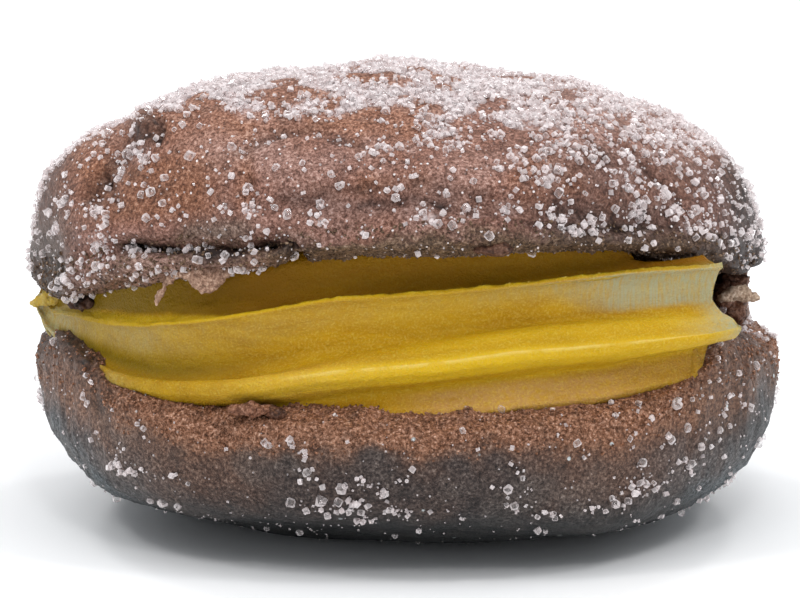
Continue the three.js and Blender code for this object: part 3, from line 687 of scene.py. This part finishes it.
def makeCrown(material):
    bm, p, facing, lat = skin(crown)
    x, y, z = p.T
    front = smooth(-y, 2, 10)
    ringDrop = -np.degrees(lat)
    cut = smooth(ringDrop + 6 * grain(p, 3, 2, 5.5), *crown["cutBelow"])  # the cut edge and all under it
    lip = between(ringDrop, *crown["lip"]) * (0.35 + 0.65 * front)
    level = np.hypot(facing[:, 0], facing[:, 1])  # 1 where the skin stands upright
    wander = 0.3 * grain(p, 2.2, 2, 11)
    gap = fromLine(x, z + wander, crack["points"])
    away = fromLine(x, z, crack["points"])
    widest = bell(x, *crack["widest"])
    ragged = crack["width"] * (1 + 0.35 * grain(p, 3, 2, 12)) * (1 + 0.6 * widest)
    stepIn = front * between(z, step["low"] - 1, step["high"] + 1, 2) * bell(x, step["x"], step["width"])
    knobUp = (z - nub["z"]) * 0.8 + (x - nub["x"]) * 0.3
    knob = np.hypot((x - nub["x"]) * 1.15, knobUp) + 0.5 * grain(p, 1.5, 2, 22)
    beside = front * bell(fromLine(x, z, fold["points"]), 0, fold["width"])
    roll = front * (0.16 + 0.16 * smooth(-x, 25, 31)) * between(x, -40, -9, 5) * between(z, -6.5, -2.6, 0.8)
    sugar = np.maximum(crownSugar(p), roll)

    lift = rough(p, crown["relief"])
    lift += lip * (0.3 + 0.7 * level) * rough(p, crown["lipRelief"]) - 0.25 * lip
    lift -= front * crack["depth"] * bell(gap, 0, ragged)
    lift += front * level * 0.45 * bell(z, -4.9, 0.9) * between(x, -34, -9, 6)  # the roll under the crack
    lift -= step["depth"] * stepIn
    creased = 0
    for points, depth, width, dark in creases:
        near = front * bell(fromLine(x, z + wander, points), 0, width)
        lift -= depth * near
        creased = creased + dark * near
    lift += front * 0.4 * bell(knob, 0, 1.5) * (1 + 1.6 * grain(p, 1.1, 2, 21)) - fold["depth"] * beside
    lift -= crown["sugarDepth"] * smooth(sugar, 0.3, 0.8)  # the crystals make up what is taken off here
    p = p + facing * lift[:, None]
    p[:, 2] += np.interp(x, *crown["topRise"]) * smooth(z, 3, 12)
    inward = 1 - np.hypot(x / bun["halfWidth"], y / bun["halfDepth"])
    lipShift = np.interp(x, *crown["lipRise"]) + 0.25 * grain(p, 2.4, 2, 13)
    p[:, 2] += lipShift * smooth(ringDrop, 4, 34) * smooth(-y, 4, 12) * (1 - smooth(inward, 0.16, 0.42))

    rolled = front * between(x, -32, -9, 5) * between(z, -7.5, -3.2, 1)
    marks = painted(crustMarks, crown["patches"], {
        "all": 1, "front": front, "lip": lip, "step": stepIn, "fold": beside, "roll": rolled,
        "notRoll": 1 - rolled, "crack": front * bell(gap, 0, 0.5 + 0.25 * widest),
        "nearCrack": front * bell(away, 0, 1.3), "hollow": front * inHollow(x, z, 2.5),
        "nub": front * smooth(1 - knob / 2.4, 0, 0.45),
        "shoulder": front ** 2 * between(x, -16, 33, 7) * bell(z, 0.4 - 0.04 * x, 1.5),
        "creases": creased * (0.7 + 0.6 * grain(p, 1.5, 2, 37)), "sugared": smooth(sugar, 0.05, 0.6),
        "upper": front * smooth(z + 2 * grain(p, 5, 2, 31), 5.5, 9),
        "frontPatches": front * smooth(grain(p, 4, 2, 33), -0.2, 0.3),
        "lipPatches": lip * smooth(grain(p, 4, 2, 34), -0.1, 0.4),
        "patches": smooth(grain(p, 5, 2, 35), -0.1, 0.5)}, x, z)
    cut = cut * (1 - 0.6 * front * between(x, -42, -12, 5) * (1 - smooth(ringDrop, 50, 65)))
    marks["crumb"] = cut
    marks["bed"] = smooth(sugar + 0.4 * grain(p, 1.3, 2, 36), 0.55, 0.95) * (1 - cut)
    tip = tipped(-crown["rollDegrees"], "y") @ tipped(-crown["tipDegrees"], "x")
    p = p @ tip.T + (0, 0, crown["ringHeight"])
    quads = quadsOf(bm)
    makePiece("crownCrust", bm, p, material, "crust", "dough", marks)
    return {"points": p, "quads": quads, "sugar": sugar * (1 - 0.9 * cut), "edge": lip ** 2 * front}


def makeBase(material):
    bm, p, facing, _ = skin(base)
    x, y, z = p.T
    front = smooth(-y, 2, 10)
    wander = rough(p, base["wander"])
    rim = smooth(z + 1.3 * wander, *base["rim"])
    pit = base["pit"]
    fromPit = np.hypot(x - pit["x"], z - pit["z"])
    fibres = grain(p * (1, 1, 0.25), 0.9, 2, 49)  # drawn out upright on the stretched ends
    lift = rough(p, base["relief"]) + rim * rough(p, base["rimRelief"])
    lift += base["fibreRelief"] * fibres * smooth(np.abs(x), 22, 34) * front
    lift -= front * pit["depth"] * bell(fromPit, 0, pit["width"]) + 0.5 * (1 - smooth(z, 4, 9))
    lift *= smooth(z, 0.05, 2.0)  # the flat that it stands on stays smooth
    p = p + facing * lift[:, None]
    p[:, 2] += base["forwardSlope"] * p[:, 1] * smooth(p[:, 2], 0, base["ringHeight"] + base["upperHeight"])
    p[:, 2] += np.interp(p[:, 0], *base["rimRise"]) * smooth(z, 14, 18) * smooth(-y, 4, 14)
    p[:, 0] += np.interp(z, *base["drawIn"]) * smooth(-x, 22, 40)
    p[:, 2] -= np.interp(x, *base["belly"]) * (1 - smooth(z, 8, 16))
    p[:, 2] = np.maximum(p[:, 2], 0)

    z = p[:, 2]
    unseen = 1 - smooth(-y, 0, 12)
    sugar = base["sugarLeast"] + 0.4 * smooth(grain(p, 3.2, 2, 51), 0.26, 0.5) * (0.02 + 0.98 * unseen)
    sugar *= 1 - 0.6 * smooth(-x, 33, 39)
    sugar += 0.05 * smooth(x, 24, 38) * (1 - smooth(x, 36, 40))
    sugar = np.maximum(sugar, base["sugarClump"] * clumped(p, base["clumps"])) * smooth(z, 2.2, 4.6)
    under = 1 - smooth(z + 1.4 * grain(p, 4, 2, 55), 3.0, 9.5)
    sides = smooth(np.abs(x - base["offsetX"]), 22, 38)
    # painted shade: darker underneath, in the pit and toward both ends of the rim
    shade = 0.85 * under * (1 - 0.5 * sides) + 0.5 * front * bell(fromPit, 0, 0.9)
    shade += 0.7 * rim * smooth(-x, 26, 36)
    shade += front * smooth(z, 8, 14) * (0.3 * smooth(x, 28, 37) + 0.25 * rim * smooth(x, 27, 35))
    # grey-blue on the lower sides and underneath: partly the crust's own tone, partly a painted sheen
    greyToneAndSheen = sides * (0.25 + 0.5 * front) * (1 - smooth(z + 2 * wander, 7, 18)) + 0.35 * under
    greyToneAndSheen *= 0.6 + 0.4 * smooth(grain(p, 5, 2, 56) + 0.5 * fibres, -0.5, 0.3)
    warm = (0.45 + 0.45 * front) * smooth(z + 1.6 * wander, 12, 17.5)
    warm += 0.35 * front * between(np.abs(x), 12, 40, 8) * smooth(z + 1.6 * wander, 5, 11)
    frost = 0.3 * smooth(grain(p, 6, 2, 57), 0, 0.4) * (1 - rim) * (1 - smooth(x, 16, 28))
    edge = rim * smooth(np.hypot(x, 1.04 * y), 32, 36) * smooth(0.5 * np.abs(x) - y, 8, 20)
    edge *= 1 - 0.85 * smooth(np.abs(x), 27, 35)
    quads = quadsOf(bm)
    makePiece("baseCrust", bm, p, material, "crust", "dough",
              {"warm": warm, "greyToneAndSheen": greyToneAndSheen, "frost": frost, "crumb": rim, "shade": shade})
    return {"points": p, "quads": quads, "sugar": sugar * smooth(z, 0.8, 2), "edge": edge}


def makeBack(material):
    bm, toward = cubeBall(hinge["cuts"])
    p = toward * hinge["half"] + hinge["place"]
    p = p + toward * rough(p, hinge["relief"])[:, None]
    quads = quadsOf(bm)
    makePiece("uncutBack", bm, p, material, "crust", "dough", {
        "warm": 0.5, "frost": 0.25 * smooth(grain(p, 5, 2, 63), 0, 0.4), "crumb": 0.45, "shade": 0.1})
    return {"points": p, "quads": quads, "sugar": np.full(len(p), 0.05), "edge": np.zeros(len(p))}


torn = {
    "lumps": [  # place and half sizes
        ((37.9, 2, 25.6), (1.8, 4.5, 1.5)), ((37.4, 1.5, 23.0), (1.9, 5, 2.0)),
        ((36.5, -1.5, 24.6), (1.4, 3, 1.2)), ((-38.2, 4, 25.8), (1.9, 4, 2.0)),
        ((-37.6, 3, 22.8), (1.8, 4, 1.9)), ((-35.3, -17.6, 26.9), (1.3, 1.4, 1.1)),
        ((-15.6, -36.2, 18.6), (2.6, 1.0, 0.7)), ((-13.2, -36.4, 18.1), (1.2, 0.8, 0.7)),
        ((9.4, -38.3, 36.0), (2.2, 1.0, 0.7))],
    # x from and to, in front of which y, and how dark
    "dark": [(-far, -33, -14, 0.8), (-20, -11, -30, 0.3), (-14, -11, -30, 0.35), (5, far, -30, 0.65),
             (30, far, far, 0.4)],
    # x, y, z, half height and half thickness along each shred
    "shreds": {
        "strand": [(-20.4, -30.8, 33.5, 0.9, 0.6), (-22.6, -31.0, 32.6, 0.7, 0.5),
                   (-24.0, -30.9, 32.0, 0.42, 0.4), (-25.0, -30.6, 31.1, 0.3, 0.3),
                   (-25.6, -30.5, 29.9, 0.26, 0.26), (-26.2, -30.5, 28.6, 0.34, 0.28)],
        "flap": [(-23.2, -31.2, 33.2, 0.5, 0.4), (-22.2, -31.7, 32.4, 1.0, 0.36),
                 (-20.9, -32.0, 31.8, 1.5, 0.36), (-19.4, -32.2, 32.4, 1.0, 0.36),
                 (-18.2, -32.4, 33.2, 0.5, 0.3)],
        "paleShred": [(35.4, -8, 25.4, 0.5, 0.6), (37.0, -7.4, 25.9, 0.8, 0.8), (38.8, -6.6, 25.7, 0.7, 0.7),
                      (40.3, -6, 25.0, 0.35, 0.4)]},
    "paleness": {"strand": 0.25, "flap": 0.25, "paleShred": 0.9},
    "shredRelief": [(0.34, 0.8, 3, 91), (0.14, 0.35, 2, 92)],
}


def makeTornCrumb(material):
    bm = bmesh.new()
    points = []
    for i, (place, half) in enumerate(torn["lumps"]):
        made = bmesh.ops.create_icosphere(bm, subdivisions=5, radius=1)["verts"]
        toward = np.array([v.co for v in made])
        p = toward * half + place
        relief = min(half) * rough(p, [(0.5, 1.7, 3, 70 + i), (0.2, 0.6, 2, 80 + i)])
        p = p + toward * relief[:, None]
        points.append(p)
    points = np.concatenate(points)
    x, y, _ = points.T
    dark = sum(shade * ((x > low) & (x < high) & (y < before)) for low, high, before, shade in torn["dark"])
    makePiece("tornCrumb", bm, points, material, "crumb", "dough", {"warm": 0.8, "shade": dark})
    for name, rows in torn["shreds"].items():
        bm, p, aside, _ = ribbon(rows, 24, 60)
        p = p + aside * rough(p, torn["shredRelief"])[:, None]
        makePiece(name, bm, p, material, "crumb", "dough", {"frost": torn["paleness"][name]})


# custard: a rope piped through a star nozzle, the spread behind it and the tail squeezed out of the cut
rope = {
    "leftX": -40.3, "rightX": 31.2, "frontY": -27.4, "bow": 76, "height": 26.75, "slope": 0.088,
    "leftDrop": 2.5,
    "tailLength": 0.39, "topTailLength": 0.22, "tailEnd": 0.42, "tailBack": 10.5,
    "tailRise": 2.4, "tipCurl": 2.2, "tailSize": 0.19, "columns": 160, "rings": 300, "capRings": 12,
    "hullFront": 8.4, "hullAbove": -2.5, "hullCurve": 0.035,  # a plain outline without flutes
    "centreFront": 2.0, "centreAbove": -1.0, "capReach": 1.2,  # what the end caps close in to
    # how the piped rope strays from an even one: the side of the outline that moves ("front" or "above"),
    # its first and last point and how softly it starts and ends, then x and the move there in mm
    "strays": [
        ("front", 14, 18, 1.4, [-24, -10, 10, 20, 30], [0, 0.9, 0.9, -0.2, -2.4]),  # lowest flute
        ("above", 17.4, 20.4, 0.8, [20, 27, 33], [0, 0.6, 1.2]),  # the right tip's underside
        # second crest
        ("above", 17.4, 22.6, 1.2, [-12, 0, 10, 21, 28, 35], [-0.05, 0.1, 0.5, 0.15, -0.4, -0.6]),
        ("above", 22.6, 25.4, 1.2, [-34, -27, -21, -14, -7, 0, 7, 14, 21, 28, 35],
         [-0.5, -0.9, -1.0, -0.7, -0.1, 0.35, 0.75, 1.0, 0.9, 0.75, 0.3]),  # upper groove
        ("above", 25.4, 32, 1.6, [-36, -25, -12, -6, 22, 27, 33], [-0.7, -0.4, -0.15, 0.1, 0.1, -0.3, -0.75]),
        # behind the first crest
        ("above", 28.2, 29.9, 0.7, [-26, -14, 10, 20, 34], [0, -1.1, -1.1, -1.3, -0.5]),
    ],
    # its tones: mark, mask, how strongly, and where along x and round the outline. The amber and olive rows are
    # painted shade in the recess behind the first crest, in the grooves and underneath, the light rows painted light
    # on the crests and their faces, and the gleam rows painted highlight lines along the crests
    "patches": [
        ("film", "face", 0.12), ("film", "face", 0.25, (-30, 6)), ("film", "face", 0.3, (4, far, 14)),
        ("film", "face", 0.85, (14, far, 15)), ("film", "cap", 0.9, (), (18.5, far, 1.5)),
        ("film", "all", 0.5, (27, far, 8), (20.4, 23.0, 1)),
        ("film", "worn", 1, (-far, -27, 9), (-far, 23, 4.5)),
        ("film", "worn", 0.7, (-far, -34, 4.5)),
        ("paintedHighlight", "paintedHighlightLow", 0.75, (-18, far, 12), (20.8, 0.11)),
        ("paintedHighlight", "paintedHighlightHigh", 0.6, (-14, far, 10), (27.9, 0.2)),
        ("peach", "flute", 1, (-3, far, 8), (15.2, far, 0.6)),
        ("peach", "flute", -0.45, (20, far, 8), (15.2, far, 0.6)),
        ("peach", "all", 0.3, (-12, 9), (17.5, 23, 1.5)),
        ("paintedShadeAmber", "behind", 0.68), ("paintedShadeAmber", "behind", 0.32, (-far, -6, 12)),
        ("paintedShadeAmber", "behind", 0.3, (20, far, 6)),
        ("paintedShadeAmber", "all", 1, (), (-far, 14.5, 1)), ("paintedShadeAmber", "all", 0.1, (), (18.0, 0.5)),
        ("paintedShadeAmber", "flute", 0.4, (-8, 6)), ("paintedShadeAmber", "all", 0.1, (), (24.0, 0.6)),
        ("paintedShadeAmber", "all", 0.35, (-far, -10, 15), (24.0, 0.6)),
        ("paintedShadeAmber", "all", 0.35, (-33, -14, 5), (23.0, 1.2)),
        ("paintedLight", "all", 0.8, (), (26.9, 28.9, 0.4)),
        ("paintedLight", "all", -0.24, (-20, far, 20), (26.9, 28.9, 0.4)),
        ("paintedLight", "all", -0.448, (16, far, 9), (26.9, 28.9, 0.4)),
        ("paintedLight", "all", 0.95, (-22, far, 14), (18.6, 21.8, 0.8)),
        ("paintedLight", "all", -0.35, (8, far, 16), (18.6, 21.8, 0.8)),
        ("paintedLight", "all", 0.9, (-14, far, 14), (15.1, 0.3)),
        ("paintedLight", "all", 0.35, (-20, far, 14), (18.0, 0.6)),
        ("paintedLight", "all", 0.5, (-5, far, 10), (22.3, 0.8)),
        ("paintedLight", "face", 0.25, (-5, 20, 8)),
        ("paintedShadeOlive", "all", 0.2, (-far, -8, 22)), ("paintedShadeOlive", "all", 0.5, (-far, -8, 22), (24, 0.9)),
        ("paintedShadeOlive", "behind", 0.35, (-far, -8, 22)), ("paintedShadeOlive", "all", 0.45, (14, far, 10), (26.9, 28.9, 0.4)),
        ("paintedShadeOlive", "behind", 0.1)],
}
# the rope's outline: in front of its middle, above it, dragged on along it at the right end
ropeOutline = np.array([
    (7.2, -1.1, -0.8), (7.35, 1.2, -0.5), (7.9, 3.1, 0), (8.35, 3.75, 0.1), (7.7, 4.3, 0), (6.3, 5.1, -0.8),
    (5.5, 6.4, -1.6), (5.2, 8.0, -2.6), (4.2, 9.0, -3.0), (1.5, 8.8, -3.0), (-3.5, 8.0, -2), (-8.0, 4.5, 0),
    (-9.3, -1.0, 0), (-7.5, -7.5, 0), (-1.0, -10.3, -3), (6.9, -10.3, -5), (8.5, -9.1, -3),
    (7.5, -7.6, -1.2), (7.0, -6.4, -0.2), (9.0, -5.4, 0.6), (10.2, -4.4, 0.8), (10.2, -3.2, 0.9),
    (9.3, -2.5, 0.6), (7.9, -2.0, -0.3)])
spread = {"half": (33, 23, 6.2), "place": (0, -7, 24.0), "tip": 3, "cuts": 50}
# x, y, z, half height and half thickness of the thread that hangs from its left tip
tag = [(-37.8, -10.2, 26.2, 0.9, 0.7), (-39.0, -9.9, 26.1, 1.15, 0.7), (-39.9, -9.6, 25.7, 0.85, 0.6),
       (-40.8, -9.3, 25.2, 0.42, 0.36), (-41.7, -8.9, 25.1, 0.25, 0.22)]


def ropeMiddle(share):
    x = mixed(rope["leftX"], rope["rightX"], share)
    tailing = (1 - smooth(share, 0, rope["tailEnd"])) ** 2
    y = rope["frontY"] + x * x / (2 * rope["bow"]) + rope["tailBack"] * tailing
    z = rope["height"] + rope["slope"] * x - rope["leftDrop"] * smooth(-x, 5, 30) + rope["tailRise"] * tailing
    z = z + rope["tipCurl"] * smooth(-x, 37.2, 40.6)
    return np.stack([x, y, z], axis=1)


def outlineAt(turns):
    # the closed outline at shares of the way round it, rounded through its points
    count = len(ropeOutline)
    at = (turns % 1.0) * count
    i, t = at.astype(int) % count, (at - np.floor(at))[:, None]
    a, b, c, d = (ropeOutline[(i + k) % count] for k in (-1, 0, 1, 2))
    tight = 0.38  # under 0.5 the curve keeps the crests crisp
    leaving, arriving = tight * (c - a), tight * (d - b)
    eased = 3 * t ** 2 - 2 * t ** 3
    return mixed(b, c, eased) + (t ** 3 - 2 * t ** 2 + t) * leaving + (t ** 3 - t ** 2) * arriving


def frontWeighted(turns):
    # spends more columns on the star's crests and grooves, which face the opening, than on the buried back
    knots = np.array([0, 0.30, 0.40, 0.62, 0.66, 1.0])
    spent = np.array([0, 0.375, 0.42, 0.60, 0.66, 1.0])
    return np.interp(turns, knots, spent)


def makeRope(material):
    rings, cap = rope["rings"], rope["capRings"]
    bm, column, ring = poleGrid(rope["columns"], rings)
    turns = frontWeighted((1 - column) % 1.0)
    # the outline's points as numbers, from behind: grooves at 18 and 24, crests at 21 and 27
    spot = (turns * len(ropeOutline) - 12) % len(ropeOutline) + 12
    share = np.clip((ring - cap) / (rings - 2 * cap), 0, 1)
    middle = ropeMiddle(share)
    x = middle[:, 0]
    sides = dict(zip(("front", "above", "dragged"), outlineAt(turns).T))
    for side, first, last, soft, at, moves in rope["strays"]:
        sides[side] = sides[side] + np.interp(x, at, moves) * between(spot, first - soft, last + soft, soft)
    front, above, dragged = sides.values()
    hull = rope["hullFront"] - rope["hullCurve"] * (above - rope["hullAbove"]) ** 2
    above = np.where(above < 0, above * mixed(0.3, 1, smooth(x, -40.5, -33)), above)  # the tail is thin below
    fluted = smooth(x, -37, -26)  # the flutes fade away toward the left end
    front = np.where((spot > 15) & (spot < 28), mixed(np.maximum(hull, front), front, fluted), front)
    sunk = 1 - smooth(above, 4, 6.5) * (0.15 * smooth(x, 10, 24) + 0.8 * smooth(x, 23.5, 28))
    long = mixed(rope["tailLength"], rope["topTailLength"], smooth(above, 3, 7))
    grow = mixed(rope["tailSize"], 1, np.sin(math.pi / 2 * np.minimum(1, share / long)))
    tangent = ropeMiddle(np.minimum(1, share + tiny)) - ropeMiddle(np.maximum(0, share - tiny))
    tangent /= np.linalg.norm(tangent, axis=1)[:, None]
    forward = np.cross(tangent, (0, 0, 1.0))
    forward /= np.linalg.norm(forward, axis=1)[:, None]
    top = np.cross(forward, tangent)
    # the caps close in from the last outline to its middle
    closing = np.sin(np.minimum(1, np.minimum(ring, rings - ring) / cap) * math.pi / 2)
    centreFront, centreAbove = rope["centreFront"], rope["centreAbove"]
    out = mixed(centreFront * grow, front * grow, closing)
    up = mixed(centreAbove * grow, above * grow * sunk, closing)
    on = dragged * share ** 3 * closing + np.where(ring > rings / 2, -rope["capReach"] * (1 - closing), 0)
    p = middle + forward * out[:, None] + top * up[:, None] + tangent * on[:, None]
    # unevenness: slow waves along the rope, a ragged crest, fine curds
    facing = forward * (out - centreFront)[:, None] + top * (up - centreAbove)[:, None]
    facing /= np.maximum(np.linalg.norm(facing, axis=1), 1e-6)[:, None]
    lift = 0.2 * grain(p * (0.25, 1, 1), 2.4, 2, 101.0) + 0.07 * grain(p, 0.9, 2, 102.0)
    ragged = bell(spot, 27.9, 0.4) * (0.1 + 0.45 * smooth(x, -14, -6))
    lift += ragged * (grain(p * (0.8, 1, 1), 1.0, 3, 103.0) + 0.3)
    lift += bell(spot, 20.8, 0.3) * 0.12 * grain(p, 1.6, 2, 104.0)
    p = p + facing * (lift * closing)[:, None]

    x = p[:, 0]
    # between the upper groove and the first crest
    face = smooth(spot + 0.9 * smooth(x, 14, 24), 24.4, 25.4) * (1 - smooth(spot, 26.7, 27.2))
    # where the painted shade of the recess behind the first crest begins
    paintedShadeFrom = 28.9 - 0.8 * smooth(x, -26, -14) - 0.6 * smooth(x, 20, 27) + 0.25 * grain(p, 2, 2, 107)
    behind = smooth(spot, paintedShadeFrom, paintedShadeFrom + 0.4)
    marks = painted(custardMarks, rope["patches"], {
        "all": 1, "face": face, "behind": behind, "flute": between(spot, 14.6, 17.9, 0.7),
        "cap": smooth(ring, rings - 2.0 * cap, rings - 0.9 * cap),
        "worn": smooth(grain(p, 1.5, 2, 105), -0.8, -0.1),
        "paintedHighlightLow": smooth(grain(p, 2.2, 3, 108), -0.7, 0.1),
        "paintedHighlightHigh": smooth(grain(p, 1.8, 2, 109), -0.5, 0.3)}, x, spot)
    marks["film"] = marks["film"] * (0.85 + 0.3 * smooth(grain(p, 3, 2, 106), -0.3, 0.4)) * (1 - behind)
    makePiece("custardRope", bm, p, material, "custard", "filling", marks)


def makeSpread(material):
    bm, toward = cubeBall(spread["cuts"])
    p = (toward * spread["half"]) @ tipped(-spread["tip"], "x").T + spread["place"]
    lift = 0.25 * grain(p * (0.3, 1, 1), 3, 2, 111) + 0.1 * grain(p, 1.2, 2, 112)
    # amber all over: painted shade under the crown's lip
    makePiece("custardSpread", bm, p + toward * lift[:, None], material, "custard", "filling", {"paintedShadeAmber": 0.9})


def makeTag(material):
    bm, p, aside, share = ribbon(tag, 24, 40)
    p = p + aside * (0.3 * grain(p, 0.8, 3, 121) * smooth(share, 0, 0.25))[:, None]
    # its light tone is painted light and its olive tone painted shade
    makePiece("custardTag", bm, p, material, "custard", "filling", {"film": 0.4, "paintedLight": 0.7, "paintedShadeOlive": 0.15})


def sowOn(carriers, weightOf, count, draw):
    # places on the carriers' skins, picked by area times weight, with the way the skin faces there
    spots, facings = [], []
    corners = [c["points"][c["quads"]] for c in carriers]
    cross = [np.cross(q[:, 2] - q[:, 0], q[:, 3] - q[:, 1]) for q in corners]
    weights = [np.linalg.norm(n, axis=1) * weightOf(c)[c["quads"]].mean(1) for n, c in zip(cross, carriers)]
    total = sum(w.sum() for w in weights)
    for quads, normals, weight in zip(corners, cross, weights):
        many = int(round(count * weight.sum() / total))
        picked = draw.choice(len(weight), many, p=weight / weight.sum())
        u, v = draw.random((2, many, 1))
        q = quads[picked]
        spots.append((q[:, 0] * (1 - u) + q[:, 1] * u) * (1 - v) + (q[:, 3] * (1 - u) + q[:, 2] * u) * v)
        n = normals[picked]
        facings.append(n / np.linalg.norm(n, axis=1)[:, None])
    return np.concatenate(spots), np.concatenate(facings)


def randomTurns(count, draw):
    # evenly drawn rotations, from unit quaternions
    q = draw.normal(size=(count, 4))
    w, x, y, z = (q / np.linalg.norm(q, axis=1)[:, None]).T
    return np.stack([
        1 - 2 * (y * y + z * z), 2 * (x * y - z * w), 2 * (x * z + y * w),
        2 * (x * y + z * w), 1 - 2 * (x * x + z * z), 2 * (y * z - x * w),
        2 * (x * z - y * w), 2 * (y * z + x * w), 1 - 2 * (x * x + y * y)], axis=1).reshape(-1, 3, 3)


def joinedCopies(name, shape, spots, sizes, material, draw, jitter, marks):
    # one mesh of many small copies of a bmesh shape, each turned at random and stretched to its sizes
    own = np.array([v.co for v in shape.verts])
    faces = [[v.index for v in face.verts] for face in shape.faces]
    shape.free()
    count = len(spots)
    own = own[None] * (1 + jitter * draw.normal(size=(count, len(own), 1)))
    p = np.einsum("nij,nkj->nki", randomTurns(count, draw), own * sizes[:, None, :]) + spots[:, None, :]
    p[:, :, 2] = np.maximum(p[:, :, 2], 0.0)
    perCopy = p.shape[1]
    allFaces = [[v + i * perCopy for v in face] for i in range(count) for face in faces]
    mesh = bpy.data.meshes.new(name)
    mesh.from_pydata((p.reshape(-1, 3) * metre).tolist(), [], allFaces)
    for mark, value in marks.items():
        layer = mesh.attributes.new(mark, "FLOAT", "POINT")
        layer.data.foreach_set("value", np.full(count * perCopy, value, np.float32))
    mesh.update()
    mesh.shade_flat()
    dressed(name, mesh, material, "dough")


def bevelledCube(bevel):
    bm = bmesh.new()
    bmesh.ops.create_cube(bm, size=1)
    if bevel:
        bmesh.ops.bevel(bm, geom=bm.edges[:] + bm.verts[:], offset=bevel, offset_type="OFFSET", segments=1,
                        profile=0.5, affect="EDGES", material=-1)
    bm.verts.index_update()
    return bm


# how many, smallest and largest edge, share sunk in the crust, most that one lies on others, bevelled share
# of its edge, and how strongly it keeps to thickly sugared places
sugarKinds = [
    {"name": "coarseSugar", "count": 900, "low": 0.85, "high": 1.2,
     "sunk": 0.4, "heap": 0.1, "bevel": 0.2, "keep": 0.75},
    {"name": "mediumSugar", "count": 4500, "low": 0.55, "high": 0.9,
     "sunk": 0.36, "heap": 0.4, "bevel": 0.18, "keep": 1.1},
    {"name": "brokenSugar", "count": 10500, "low": 0.4, "high": 0.68,
     "sunk": 0.32, "heap": 0.7, "bevel": 0, "keep": 1.4},
    {"name": "fineSugar", "count": 16500, "low": 0.2, "high": 0.4,
     "sunk": 0.3, "heap": 1.2, "bevel": 0, "keep": 1.3},
]
dust = {"count": 14000, "low": 0.1, "high": 0.18}
crumbGrains = {"count": 9500, "low": 0.22, "high": 0.55}


def makeSugar(carriers, clear, milky):
    draw = np.random.default_rng(7)
    for kind in sugarKinds:
        spots, facings = sowOn(carriers, lambda c: c["sugar"] ** kind["keep"], kind["count"], draw)
        size = mixed(kind["low"], kind["high"], draw.random(len(spots)) ** 1.6)
        sizes = size[:, None] * (0.72 + 0.28 * draw.random((len(spots), 3)))
        heaped = draw.random(len(spots)) ** 3 * kind["heap"]
        spots = spots + facings * (size * (0.5 - kind["sunk"] + heaped))[:, None]
        material = clear if kind["bevel"] else milky
        shape = bevelledCube(kind["bevel"])
        joinedCopies(kind["name"], shape, spots, sizes, material, draw, 0.08, {})
    spots, facings = sowOn(carriers, lambda c: 0.06 + c["sugar"], dust["count"], draw)
    size = mixed(dust["low"], dust["high"], draw.random(len(spots)))
    spots = spots + facings * (0.15 * size)[:, None]
    joinedCopies("sugarDust", bevelledCube(0), spots, size[:, None] * np.ones(3), milky, draw, 0, {})


def makeGrains(name, carrier, count, material, seed):
    # short torn fibres and crumbs along the cut edge
    draw = np.random.default_rng(seed)
    bm = bmesh.new()
    bmesh.ops.create_icosphere(bm, subdivisions=1, radius=0.5)
    spots, facings = sowOn([carrier], lambda c: c["edge"], count, draw)
    size = mixed(crumbGrains["low"], crumbGrains["high"], draw.random(len(spots)) ** 2)
    sizes = size[:, None] * (0.4 + 0.8 * draw.random((len(spots), 3)))
    spots = spots + facings * (0.1 * size)[:, None]
    joinedCopies(name, bm, spots, sizes, material, draw, 0.15, {"crumb": 1})


def main():
    makeCamera()
    makeStudio()
    print("camera and studio made")
    crownSkin = crustMaterial("sugaredCrust", crownLook)
    baseSkin = crustMaterial("darkFriedCrust", baseLook)
    crumbSkin = crustMaterial("tornCrumb", crumbLook)
    custard = custardMaterial(custardLook)
    clear, milky = [sugarMaterial(name, *row) for name, row in crystalCovers.items()]
    print("materials made")
    top = makeCrown(crownSkin)
    bottom = makeBase(baseSkin)
    back = makeBack(crownSkin)
    print("bun made")
    makeTornCrumb(crumbSkin)
    makeGrains("lipGrains", top, crumbGrains["count"] // 3, crownSkin, 23)
    makeGrains("rimGrains", bottom, crumbGrains["count"] * 2 // 3, baseSkin, 24)
    print("torn crumb made")
    makeRope(custard)
    makeSpread(custard)
    makeTag(custard)
    print("custard made")
    makeSugar([top, bottom, back], clear, milky)
    print("sugar made")


main()
